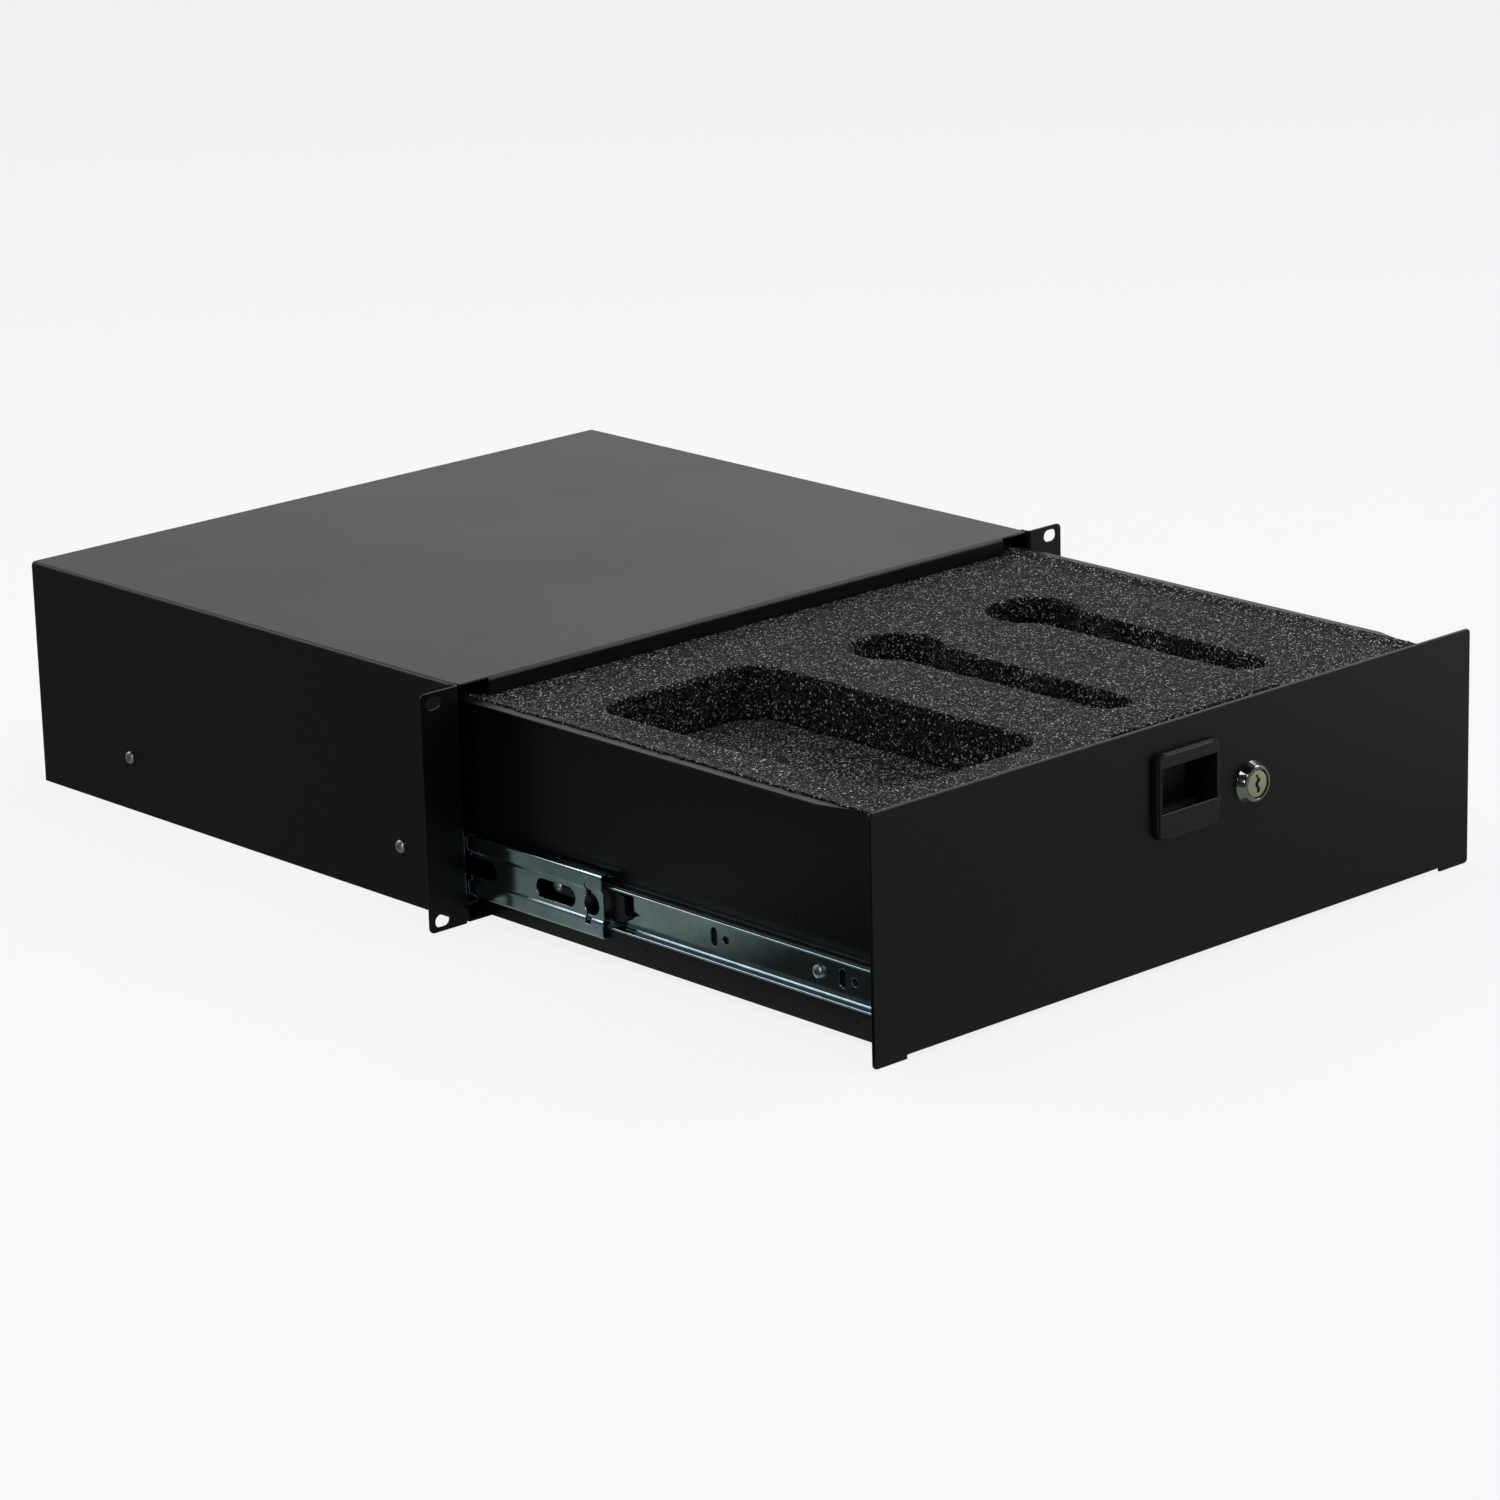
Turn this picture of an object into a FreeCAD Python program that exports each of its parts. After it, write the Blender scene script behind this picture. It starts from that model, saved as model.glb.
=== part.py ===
import FreeCAD, Part
import math
import os

# A 3U sliding rack drawer, in millimetres. +X is to the right seen from the front, +Y runs back
# into the rack and +Z is up. The origin is the centre of the four rack slots, on the ears' rear
# face, which bears on the rack rails. The model rests with its drawer drawn out.
#
# The sheet-metal pieces are folded strips. The drawer runs on two three-member ball slides: a
# cabinet member on the case, an intermediate member between two rows of balls, and a drawer
# member on the tray. A sprung sliding latch and a cam lock both hold behind the case's front lip.

V = FreeCAD.Vector

# Rack opening and mounting ears
rack_width = 482.6
rack_height = 132.5
slot_inset = 8.75
slot_spacing_z = 120.65
slot_length = 10.2
slot_width = 7.0
ear_reach = 25.2
ear_corner = 3.0
slot_spacing_x = rack_width - 2 * slot_inset
bottom = -rack_height / 2
top = rack_height / 2

# Drawer travel
opened = 320.5
closed_gap = 0.3
further_travel = 29.5
intermediate_share = 0.35

# Slide lengths, from which the tray and the case take theirs
slide_length = 350.0
slide_setback = 1.5
middle_shorter = 10.0
middle_setback = 4.2
drawer_member_shorter = 2.0
drawer_member_setback = 0.8
tray_longer = 1.2
middle_length = slide_length - middle_shorter
drawer_member_length = slide_length - drawer_member_shorter
tray_depth = drawer_member_setback + drawer_member_length + tray_longer

# Case
case_sheet = 1.5
case_bend = 1.0
space_behind_tray = 33.1
ear_return = 5.0
lip_height = 9.7
lip_inset = 22.1
base_sheet = 1.2
base_bend = 0.8
base_flange = 8.0
back_flange = 12.0
case_x = rack_width / 2 - ear_reach
case_inner_x = case_x - case_sheet
ear_front = -case_sheet
case_rear = ear_front - closed_gap + tray_depth + space_behind_tray + base_sheet
lip_half = case_x - lip_inset
lip_under = top - lip_height

# Drawer tray
panel_sheet = 2.0
panel_overlap = 8.7
panel_corner = 2.5
panel_edge = 0.5
panel_half = case_x + panel_overlap
panel_back = ear_front - closed_gap - opened
panel_front = panel_back - panel_sheet
tray_sheet = 1.2
tray_bend = 0.8
tray_lift = 2.2
tray_wall = 121.4
tray_under = bottom + tray_lift
tray_rim = tray_under + tray_wall
rim_flange = 9.6
rim_nose = 50.0
rim_nose_length = 28.0
rim_nose_width = 1.8
tray_rear = panel_back + tray_depth
tray_flange = 16.0
flange_gap = 1.0
back_wall_drop = 6.0
weld_mark_radius = 1.3
weld_mark_depth = 0.25
weld_marks = ((33.8, 11.0), (192.8, 11.5), (300.8, 12.0), (33.8, 51.3), (75.8, 57.7))

# Ball slides. u is measured from the case's inner face towards the drawer, v up from the slide's
# centre line.
slide_thickness = 12.7
slide_level = 31.9
slide_z = bottom + slide_level
outer_race_gap = 3.85
outer_ball_radius = 1.985
inner_race_gap = 4.6
inner_ball_radius = 2.38
groove_clearance = 0.1
cabinet_height = 45.7
cabinet_sheet = 1.5
cabinet_flange = 9.4
cabinet_lip = 3.9
slide_bend = 0.8
middle_sheet = 1.2
middle_start_u = 2.2
middle_end_u = 11.2
middle_lip = 2.6
middle_recess = 1.2
middle_recess_height = 14.4
middle_crease = 1.4
drawer_member_sheet = 1.2
drawer_member_start_u = 5.4
middle_height = cabinet_height - 2 * (cabinet_sheet + outer_race_gap)
drawer_member_height = middle_height - 2 * (middle_sheet + inner_race_gap)
tray_side_x = case_inner_x - slide_thickness
tray_inner_x = tray_side_x - tray_sheet

# Ball cages
cage_sheet = 0.5
cage_margin = 0.1
outer_ball_u = 5.3
outer_cage_start_u = 2.7
outer_cage_end_u = 7.6
outer_cage_length = 190.0
outer_cage_setback = 4.0
outer_ball_count = 4
inner_ball_u = 7.4
inner_cage_start_u = 4.2
inner_cage_end_u = 9.7
inner_cage_length = 95.0
inner_cage_lead = 5.3
inner_ball_count = 3

# Openings in the slide members
access_slot_length = 31.5
access_slot_height = 10.6
access_slot_pitch = 63.4
access_slot_first = 38.3
access_slot_count = 3
window_setback = 9.4
window_width = 4.2
window_height = 22.0
window_bulge = 5.9
stop_tab_depth = 1.6
stop_tab_height = 3.4
stop_tab_drop = 6.5
hole_pitch = 95.2
hole_rows = 2
round_hole_first = 33.9
round_hole_radius = 2.3
upright_slot_first = 42.8
upright_slot_width = 4.4
upright_slot_height = 10.0

# Pan-head cross-recess screws
screw_radius = 2.0
screw_clearance = 0.15
head_radius = 3.7
head_height = 2.4
recess_length = 4.4
recess_width = 1.1
recess_depth = 1.3
case_screw_first = 53.2
case_screw_pitch = 244.1
tray_screw_first = 59.6
tray_screw_pitch = 199.0

# Release levers in the drawer members
lever_start_u = 8.2
lever_end_u = 11.2
lever_tip = 203.0
lever_head_length = 18.0
lever_head_up = 8.0
lever_head_down = 7.0
lever_corner = 2.0
lever_beak = 4.5
lever_beak_height = 3.0
lever_beak_v = -3.4
lever_pivot = 28.0
lever_boss = 4.5
lever_tail = 22.0
lever_tail_height = 4.4
rivet_radius = 1.6
rivet_clearance = 0.05
rivet_head_radius = 2.8
rivet_head_height = 0.9

# Foam. The pockets are placed from the inner faces of the tray's walls.
foam_clearance = 0.3
foam_drop = 1.2
foam_layer = 30.0
drive_pocket_width = 118.0
drive_pocket_length = 222.0
drive_pocket_corner = 20.0
drive_pocket_wall = 27.7
drive_pocket_front = 41.8
mic_head_radius = 26.5
mic_neck_radius = 17.0
mic_tail_radius = 13.0
mic_pocket_length = 158.0
mic_pocket_walls = (182.7, 80.7)
mic_pocket_fronts = (228.3, 225.3)
notch_left = 28.0
notch_right = 50.0
notch_depth = 28.0
notch_level = 68.0
notch_bottom = bottom + notch_level
foam_top_level = tray_rim - foam_drop

# Latch
latch_x = -1.5
latch_width = 46.8
latch_height = 46.4
latch_level = 94.3
latch_proud = 4.4
latch_corner = 5.0
latch_edge = 1.2
cup_width = 41.0
cup_height = 24.2
cup_under = 85.6
cup_wall = 1.3
cup_well_depth = 10.6
cup_depth = 17.7
cup_front_wall = 2.2
cheek_length = 6.0
cheek_lip = 3.0
cheek_lip_sheet = 1.5
panel_cut_clearance = 0.2
bolt_sheet = 2.5
bolt_clearance = 0.3
bolt_travel = 4.4
bolt_side_clearance = 0.4
ledge_depth = 8.0
ledge_height = 2.0
arm_width = 16.0
arm_height = 3.0
arm_clearance = 0.5
hook_overlap = 4.2
hook_gap = 0.6
hook_depth = 4.0
hook_slope = 2.6
spring_width = 8.0
spring_sheet = 0.4
spring_bow = 4.0
spring_height = 17.0
spring_seat = 1.5
spring_clearance = 0.3
latch_z = bottom + latch_level
latch_front = panel_front - latch_proud
cup_bottom = bottom + cup_under
cup_top = cup_bottom + cup_height
cup_well = cup_bottom - cup_well_depth
bolt_bottom = cup_well + bolt_travel + bolt_clearance
arm_under = cup_top + cup_wall + bolt_travel + arm_clearance
hook_top = lip_under + hook_overlap

# Lock
lock_x = 49.5
lock_level = 86.1
lock_z = bottom + lock_level
collar_radius = 11.7
collar_front_radius = 9.4
collar_proud = 5.0
collar_foot = 1.2
barrel_radius = 8.9
barrel_flat = 15.6
barrel_length = 15.0
barrel_clearance = 0.2
nut_width = 22.0
nut_height = 3.0
plug_radius = 7.5
plug_clearance = 0.1
plug_recess = 0.4
keyway_width = 1.5
keyway_step = 1.1
keyway_height = 8.6
keyway_depth = 5.0
drive_square = 7.0
drive_clearance = 0.1
cam_sheet = 2.0
cam_width = 14.0
cam_reach = 41.5
cam_hub = 9.0
cam_corner = 6.0
cam_crank_start = 14.0
cam_crank_run = 7.0
cam_crank_offset = 9.0
cam_screw_head_width = 8.0
cam_screw_head_height = 2.2
cam_screw_radius = 2.0
cam_screw_length = 8.0


# ---------------------------------------------------------------- small drawing functions

def box(x0, x1, y0, y1, z0, z1):
    return Part.makeBox(x1 - x0, y1 - y0, z1 - z0, V(x0, y0, z0))


def rod(radius, start, end):
    run = end - start
    return Part.makeCylinder(radius, run.Length, start, run)


def flat_face(corners):
    return Part.Face(Part.makePolygon(corners + corners[:1]))


def flatted_pin(radius, start, end, flats=8):
    """A small round pin, head or hole, drawn with flats to keep the faces few."""
    along = (end - start).normalize()
    across = along.cross(V(0, 0, 1)) if abs(along.z) < 0.5 else along.cross(V(1, 0, 0))
    third = along.cross(across)
    angles = [2 * math.pi * step / flats for step in range(flats)]
    corners = [start + across * (radius * math.cos(angle)) + third * (radius * math.sin(angle))
               for angle in angles]
    return flat_face(corners).extrude(end - start)


def fused(shapes):
    whole = shapes[0]
    for shape in shapes[1:]:
        whole = whole.fuse(shape)
    return whole.removeSplitter()


def cut_all(body, tools):
    for tool in tools:
        body = body.cut(tool)
    return body


def unit(a, b):
    length = math.hypot(b[0] - a[0], b[1] - a[1])
    return (b[0] - a[0]) / length, (b[1] - a[1]) / length


def left_offset(points, distance):
    """The open path moved to its left by a distance, with mitred corners."""
    normals = []
    for a, b in zip(points, points[1:]):
        dx, dy = unit(a, b)
        normals.append((-dy, dx))
    moved = []
    for index, point in enumerate(points):
        before = normals[max(index - 1, 0)]
        after = normals[min(index, len(normals) - 1)]
        share = distance / (1 + before[0] * after[0] + before[1] * after[1])
        moved.append((point[0] + share * (before[0] + after[0]),
                      point[1] + share * (before[1] + after[1])))
    return moved


def rounded_edges(points, radii, place):
    """Lines and arcs along an open path; radii holds one bend radius per inner corner."""
    edges = []
    start = points[0]
    for index in range(1, len(points) - 1):
        corner = points[index]
        ax, ay = unit(corner, points[index - 1])
        bx, by = unit(corner, points[index + 1])
        half = math.acos(max(-1.0, min(1.0, ax * bx + ay * by))) / 2
        radius = radii[index - 1]
        reach = radius / math.tan(half)
        first = (corner[0] + ax * reach, corner[1] + ay * reach)
        last = (corner[0] + bx * reach, corner[1] + by * reach)
        inward = radius / math.sin(half) - radius
        mx, my = unit((0, 0), (ax + bx, ay + by))
        middle = (corner[0] + mx * inward, corner[1] + my * inward)
        edges.append(Part.LineSegment(place(*start), place(*first)).toShape())
        edges.append(Part.Arc(place(*first), place(*middle), place(*last)).toShape())
        start = last
    edges.append(Part.LineSegment(place(*start), place(*points[-1])).toShape())
    return edges


def folded_strip(points, sheet, bend, place, run):
    """A folded sheet: the path is one face, the sheet lies to its left, and run is its length."""
    near_radii = []
    far_radii = []
    for a, b, c in zip(points, points[1:], points[2:]):
        turn = (b[0] - a[0]) * (c[1] - b[1]) - (b[1] - a[1]) * (c[0] - b[0])
        near_radii.append(bend + sheet if turn > 0 else bend)
        far_radii.append(bend if turn > 0 else bend + sheet)
    far = left_offset(points, sheet)
    edges = rounded_edges(points, near_radii, place)
    edges.append(Part.LineSegment(place(*points[-1]), place(*far[-1])).toShape())
    edges += rounded_edges(far[::-1], far_radii[::-1], place)
    edges.append(Part.LineSegment(place(*far[0]), place(*points[0])).toShape())
    return Part.Face(Part.Wire(Part.__sortEdges__(edges))).extrude(run)


def outline(points, place, run):
    corners = [place(*point) for point in points]
    return Part.Face(Part.makePolygon(corners + corners[:1])).extrude(run)


def in_xz(y):
    return lambda x, z: V(x, y, z)


def in_yz(x):
    return lambda y, z: V(x, y, z)


def in_xy(z):
    return lambda x, y: V(x, y, z)


def rounded_along(body, direction, radius, chosen):
    """Rounds the straight edges along one axis whose middle point the test accepts."""
    edges = []
    for edge in body.Edges:
        if isinstance(edge.Curve, Part.Line) and len(edge.Vertexes) == 2:
            along = edge.Vertexes[1].Point - edge.Vertexes[0].Point
            if along.cross(direction).Length < 1e-6 * along.Length:
                if chosen(edge.CenterOfMass):
                    edges.append(edge)
    return body.makeFillet(radius, edges)


def mirrored(body):
    return body.mirror(V(0, 0, 0), V(1, 0, 0))


def on_side(body, side):
    """Pieces are drawn on the left side; the right one is its mirror image."""
    return body if side == "left" else mirrored(body)


def export(name, body):
    body.exportStep("parts/" + name + ".step")


# ---------------------------------------------------------------- case

def case_cover():
    """One sheet: top and sides, ears bent out from the sides, and a lip bent down in front."""
    body_front = ear_return
    depth = V(0, case_rear - body_front, 0)
    hood = [(case_x, bottom), (case_x, top), (-case_x, top), (-case_x, bottom)]
    pieces = [folded_strip(hood, case_sheet, case_bend, in_xz(body_front), depth)]
    ear = [(-case_x, body_front), (-case_x, 0), (-rack_width / 2, 0)]
    left_ear = folded_strip(ear, case_sheet, case_bend, in_xy(bottom), V(0, 0, rack_height))
    pieces += [left_ear, mirrored(left_ear)]
    brow_x = case_inner_x - case_bend
    pieces.append(box(-brow_x, brow_x, 0, body_front, top - case_sheet, top))
    lip = [(body_front, top), (ear_front, top), (ear_front, lip_under)]
    pieces.append(folded_strip(lip, case_sheet, case_bend, in_yz(-lip_half), V(2 * lip_half, 0, 0)))
    cover = fused(pieces)
    cover = rounded_along(cover, V(0, 1, 0), ear_corner,
                          lambda middle: abs(middle.x) > rack_width / 2 - 1)
    tools = []
    straight = slot_length / 2 - slot_width / 2
    for x in (-slot_spacing_x / 2, slot_spacing_x / 2):
        for z in (-slot_spacing_z / 2, slot_spacing_z / 2):
            for shift in (-straight, straight):
                tools.append(rod(slot_width / 2, V(x + shift, ear_front - 1, z), V(x + shift, 1, z)))
            tools.append(box(x - straight, x + straight, ear_front - 1, 1,
                             z - slot_width / 2, z + slot_width / 2))
    for y in case_screw_places():
        for side in (-1, 1):
            tools.append(flatted_pin(screw_radius + screw_clearance, V(side * (case_x + 1), y, slide_z),
                             V(side * (case_inner_x - 1), y, slide_z)))
    return cut_all(cover, tools)


def case_base():
    """The floor and back in one sheet, flanged to sit inside the cover."""
    width = V(2 * case_inner_x, 0, 0)
    path = [(0, bottom), (case_rear, bottom), (case_rear, top - case_sheet),
            (case_rear - back_flange, top - case_sheet)]
    flange_root = case_inner_x - 2 * (base_sheet + base_bend)
    floor_and_back = folded_strip(path, base_sheet, base_bend, in_yz(-case_inner_x), width)
    corner = [(flange_root, bottom), (case_inner_x, bottom), (case_inner_x, bottom + base_flange)]
    flange_run = case_rear - 2 * base_sheet - 2 * base_bend
    relief = box(flange_root, case_inner_x + 1, -1, flange_run, bottom - 1, bottom + base_sheet + 1)
    fold = box(case_inner_x - case_bend, case_inner_x + 1, 0, case_rear + 1,
               top - case_sheet - case_bend, top)
    floor_and_back = cut_all(floor_and_back, [relief, mirrored(relief), fold, mirrored(fold)])
    flange = folded_strip(corner, base_sheet, base_bend, in_xz(0), V(0, flange_run, 0))
    return fused([floor_and_back, flange, mirrored(flange)])


# ---------------------------------------------------------------- ball slides

def section(points, sheet, start_y, length):
    """A slide member of the left slide, folded to a path in u and v and run along Y."""
    def place(u, v):
        return V(-case_inner_x + u, start_y, slide_z + v)
    return folded_strip(points, sheet, slide_bend, place, V(0, length, 0))


def mirrored_path(upper):
    """Adds the lower half to a path that starts at the top and ends on the centre line."""
    return upper + [(u, -v) for u, v in upper[::-1]]


outer_ball_v = cabinet_height / 2 - cabinet_sheet - outer_race_gap / 2
inner_ball_v = middle_height / 2 - middle_sheet - inner_race_gap / 2
outer_row = (outer_ball_u, outer_ball_v, outer_ball_radius)
inner_row = (inner_ball_u, inner_ball_v, inner_ball_radius)


def grooved(member, start_y, length, rows):
    """Rolls a raceway into the member for each row of balls, above and below the centre line."""
    for u, v, radius in rows:
        x = -case_inner_x + u
        for level in (slide_z + v, slide_z - v):
            member = member.cut(rod(radius + groove_clearance, V(x, start_y - 1, level),
                                    V(x, start_y + length + 1, level)))
    return member


def stadium_y(centre_y, length, height, x0, x1):
    """A cutter through a web: a slot that runs along Y with round ends."""
    straight = (length - height) / 2
    ends = [rod(height / 2, V(x0, centre_y + shift, slide_z), V(x1, centre_y + shift, slide_z))
            for shift in (-straight, straight)]
    middle = box(x0, x1, centre_y - straight, centre_y + straight,
                 slide_z - height / 2, slide_z + height / 2)
    return fused(ends + [middle])


def stadium_z(centre_y, width, height, x0, x1):
    straight = (height - width) / 2
    ends = [rod(width / 2, V(x0, centre_y, slide_z + shift), V(x1, centre_y, slide_z + shift))
            for shift in (-straight, straight)]
    middle = box(x0, x1, centre_y - width / 2, centre_y + width / 2,
                 slide_z - straight, slide_z + straight)
    return fused(ends + [middle])


cabinet_start = slide_setback
middle_start = middle_setback - intermediate_share * opened
drawer_member_start = panel_back + drawer_member_setback


def case_screw_places():
    return [ear_front + case_screw_first + step * case_screw_pitch for step in (0, 1)]


def tray_screw_places():
    return [panel_back + tray_screw_first + step * tray_screw_pitch for step in (0, 1)]


def cabinet_member():
    """The wide member on the case, a channel whose lips keep the outer balls in."""
    half = cabinet_height / 2
    path = mirrored_path([(cabinet_flange, half - cabinet_lip), (cabinet_flange, half), (0, half)])
    member = section(path, cabinet_sheet, cabinet_start, slide_length)
    member = grooved(member, cabinet_start, slide_length, [outer_row])
    x0 = -case_inner_x - 1
    x1 = -case_inner_x + cabinet_sheet + 1
    tools = [flatted_pin(screw_radius + screw_clearance, V(x0, y, slide_z), V(x1, y, slide_z))
             for y in case_screw_places()]
    return cut_all(member, tools)


def intermediate_member():
    """The middle member: outer balls run on its back, inner balls in its channel."""
    half = middle_height / 2
    recess_half = middle_recess_height / 2
    recess_u = middle_start_u + middle_recess
    path = mirrored_path([(middle_end_u, half - middle_lip), (middle_end_u, half),
                          (middle_start_u, half), (middle_start_u, recess_half + middle_crease),
                          (recess_u, recess_half)])
    member = section(path, middle_sheet, middle_start, middle_length)
    member = grooved(member, middle_start, middle_length, [outer_row, inner_row])
    x0 = -case_inner_x + middle_start_u - 1
    x1 = -case_inner_x + recess_u + middle_sheet + 1
    slots = [stadium_y(middle_start + access_slot_first + step * access_slot_pitch,
                       access_slot_length, access_slot_height, x0, x1)
             for step in range(access_slot_count)]
    front = middle_start + window_setback
    slots.append(box(x0, x1, front, front + window_width,
                     slide_z - window_height / 2, slide_z + window_height / 2))
    slots.append(rod(window_bulge, V(x0, front, slide_z), V(x1, front, slide_z)))
    member = cut_all(member, slots)
    tab_x = -case_inner_x + recess_u
    tab_top = slide_z - stop_tab_drop
    tab = box(tab_x, tab_x + middle_sheet + stop_tab_depth, front - middle_sheet, front,
              tab_top - stop_tab_height, tab_top)
    return fused([member, tab])


def drawer_member():
    """The narrow member on the tray, a channel that opens towards the case."""
    half = drawer_member_height / 2
    path = [(drawer_member_start_u, -half), (slide_thickness, -half), (slide_thickness, half),
            (drawer_member_start_u, half)]
    member = section(path, drawer_member_sheet, drawer_member_start, drawer_member_length)
    member = grooved(member, drawer_member_start, drawer_member_length, [inner_row])
    x1 = -tray_side_x + 1
    x0 = -tray_side_x - drawer_member_sheet - 1
    tools = [flatted_pin(screw_radius + screw_clearance, V(x0, y, slide_z), V(x1, y, slide_z))
             for y in tray_screw_places()]
    tools.append(flatted_pin(rivet_radius + rivet_clearance, V(x0, lever_pivot_y(), slide_z),
                     V(x1, lever_pivot_y(), slide_z)))
    for row in range(hole_rows):
        y = panel_back + round_hole_first + row * hole_pitch
        tools.append(flatted_pin(round_hole_radius, V(x0, y, slide_z), V(x1, y, slide_z), 16))
        y = panel_back + upright_slot_first + row * hole_pitch
        tools.append(stadium_z(y, upright_slot_width, upright_slot_height, x0, x1))
    return cut_all(member, tools)


def ball_places(start, length, count, u, v):
    """Centres of both rows of balls in a slide, evenly spread along their cages."""
    pitch = length / count
    return [V(-case_inner_x + u, start + (step + 0.5) * pitch, slide_z + side * v)
            for side in (1, -1) for step in range(count)]


outer_cage_start = (outer_cage_setback + slide_setback
                    + intermediate_share / 2 * further_travel)
inner_cage_start = (middle_start + inner_cage_lead - intermediate_share * further_travel
                    + (1 + intermediate_share) / 2 * further_travel)


def cage(start, length, start_u, end_u, row, places):
    """Two steel strips, each with round holes that carry one row of balls."""
    v, radius = row[1:]
    strips = []
    for side in (1, -1):
        level = slide_z + side * v
        strip = box(-case_inner_x + start_u, -case_inner_x + end_u, start, start + length,
                    level - cage_sheet / 2, level + cage_sheet / 2)
        for place in places:
            if abs(place.z - level) < radius:
                reach = V(0, 0, radius)
                strip = strip.cut(flatted_pin(radius + cage_margin, place - reach, place + reach))
        strips.append(strip)
    return Part.makeCompound(strips)


def ring(radius, centre):
    """The corners of an eight-sided ring about a vertical axis."""
    angles = [math.radians(45 * step) for step in range(8)]
    return [centre + V(radius * math.cos(angle), radius * math.sin(angle), 0)
            for angle in angles]


def ball(centre, radius):
    """A ball drawn with flats, to keep the faces few; every corner lies on the true sphere."""
    rings = []
    for latitude in (-50, 0, 50):
        angle = math.radians(latitude)
        level = V(0, 0, radius * math.sin(angle))
        rings.append(ring(radius * math.cos(angle), centre + level))
    faces = [flat_face(rings[0]), flat_face(rings[-1])]
    for lower, upper in zip(rings, rings[1:]):
        for step in range(8):
            after = (step + 1) % 8
            faces.append(flat_face([lower[step], lower[after], upper[after], upper[step]]))
    return Part.Solid(Part.Shell(faces))


def balls(places, radius):
    return Part.makeCompound([ball(place, radius) for place in places])


def outer_places():
    return ball_places(outer_cage_start, outer_cage_length, outer_ball_count,
                       outer_ball_u, outer_ball_v)


def inner_places():
    return ball_places(inner_cage_start, inner_cage_length, inner_ball_count,
                       inner_ball_u, inner_ball_v)


def lever_pivot_y():
    return panel_back + lever_tip + lever_pivot


def release_lever(side):
    """A moulded lever on a rivet; its beaked head hooks the stop tab when the slide is drawn out.
    The right one is the left one turned upside down as well as mirrored."""
    x0 = -case_inner_x + lever_start_u
    x1 = -case_inner_x + lever_end_u
    flip = 1 if side == "left" else -1
    tip = panel_back + lever_tip
    low, high = sorted((slide_z - flip * lever_head_down, slide_z + flip * lever_head_up))
    head = box(x0, x1, tip, tip + lever_head_length, low, high)
    head = rounded_along(head, V(1, 0, 0), lever_corner, lambda middle: True)
    beak_z = slide_z + flip * lever_beak_v
    beak = outline([(tip + lever_corner, beak_z - lever_beak_height / 2),
                    (tip, beak_z - lever_beak_height / 2), (tip - lever_beak, beak_z),
                    (tip, beak_z + lever_beak_height / 2),
                    (tip + lever_corner, beak_z + lever_beak_height / 2)],
                   in_yz(x0), V(x1 - x0, 0, 0))
    pivot = lever_pivot_y()
    tail = box(x0, x1, tip + lever_head_length - lever_corner, pivot + lever_tail,
               slide_z - lever_tail_height / 2, slide_z + lever_tail_height / 2)
    boss = flatted_pin(lever_boss, V(x0, pivot, slide_z), V(x1, pivot, slide_z), 16)
    lever = fused([head, beak, tail, boss])
    return lever.cut(flatted_pin(rivet_radius + rivet_clearance, V(x0 - 1, pivot, slide_z),
                         V(x1 + 1, pivot, slide_z)))


def lever_rivet():
    pivot = lever_pivot_y()
    face = -case_inner_x + lever_start_u - rivet_clearance
    shank = flatted_pin(rivet_radius, V(face, pivot, slide_z), V(-tray_side_x, pivot, slide_z))
    head = flatted_pin(rivet_head_radius, V(face - rivet_head_height, pivot, slide_z),
                       V(face, pivot, slide_z), 12)
    return fused([head, shank])


# ---------------------------------------------------------------- screws

def pan_screw(seat, direction, length):
    """A screw whose head stands on the seat, on the side that direction points to."""
    head = flatted_pin(head_radius, seat, seat + direction * head_height, 16)
    screw = fused([head, flatted_pin(screw_radius, seat, seat - direction * length)])
    floor = seat + direction * (head_height - recess_depth)
    outside = seat + direction * (head_height + 1)
    x0, x1 = sorted((floor.x, outside.x))
    for half_y, half_z in ((recess_length / 2, recess_width / 2),
                           (recess_width / 2, recess_length / 2)):
        screw = screw.cut(box(x0, x1, seat.y - half_y, seat.y + half_y,
                              seat.z - half_z, seat.z + half_z))
    return screw


def case_slide_screws():
    screws = [pan_screw(V(-case_x, y, slide_z), V(-1, 0, 0), case_sheet + cabinet_sheet)
              for y in case_screw_places()]
    return Part.makeCompound(screws + [mirrored(screw) for screw in screws])


def tray_slide_screws():
    seat_x = -tray_side_x - drawer_member_sheet
    screws = [pan_screw(V(seat_x, y, slide_z), V(-1, 0, 0), drawer_member_sheet + tray_sheet)
              for y in tray_screw_places()]
    return Part.makeCompound(screws + [mirrored(screw) for screw in screws])


# ---------------------------------------------------------------- tray

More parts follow.
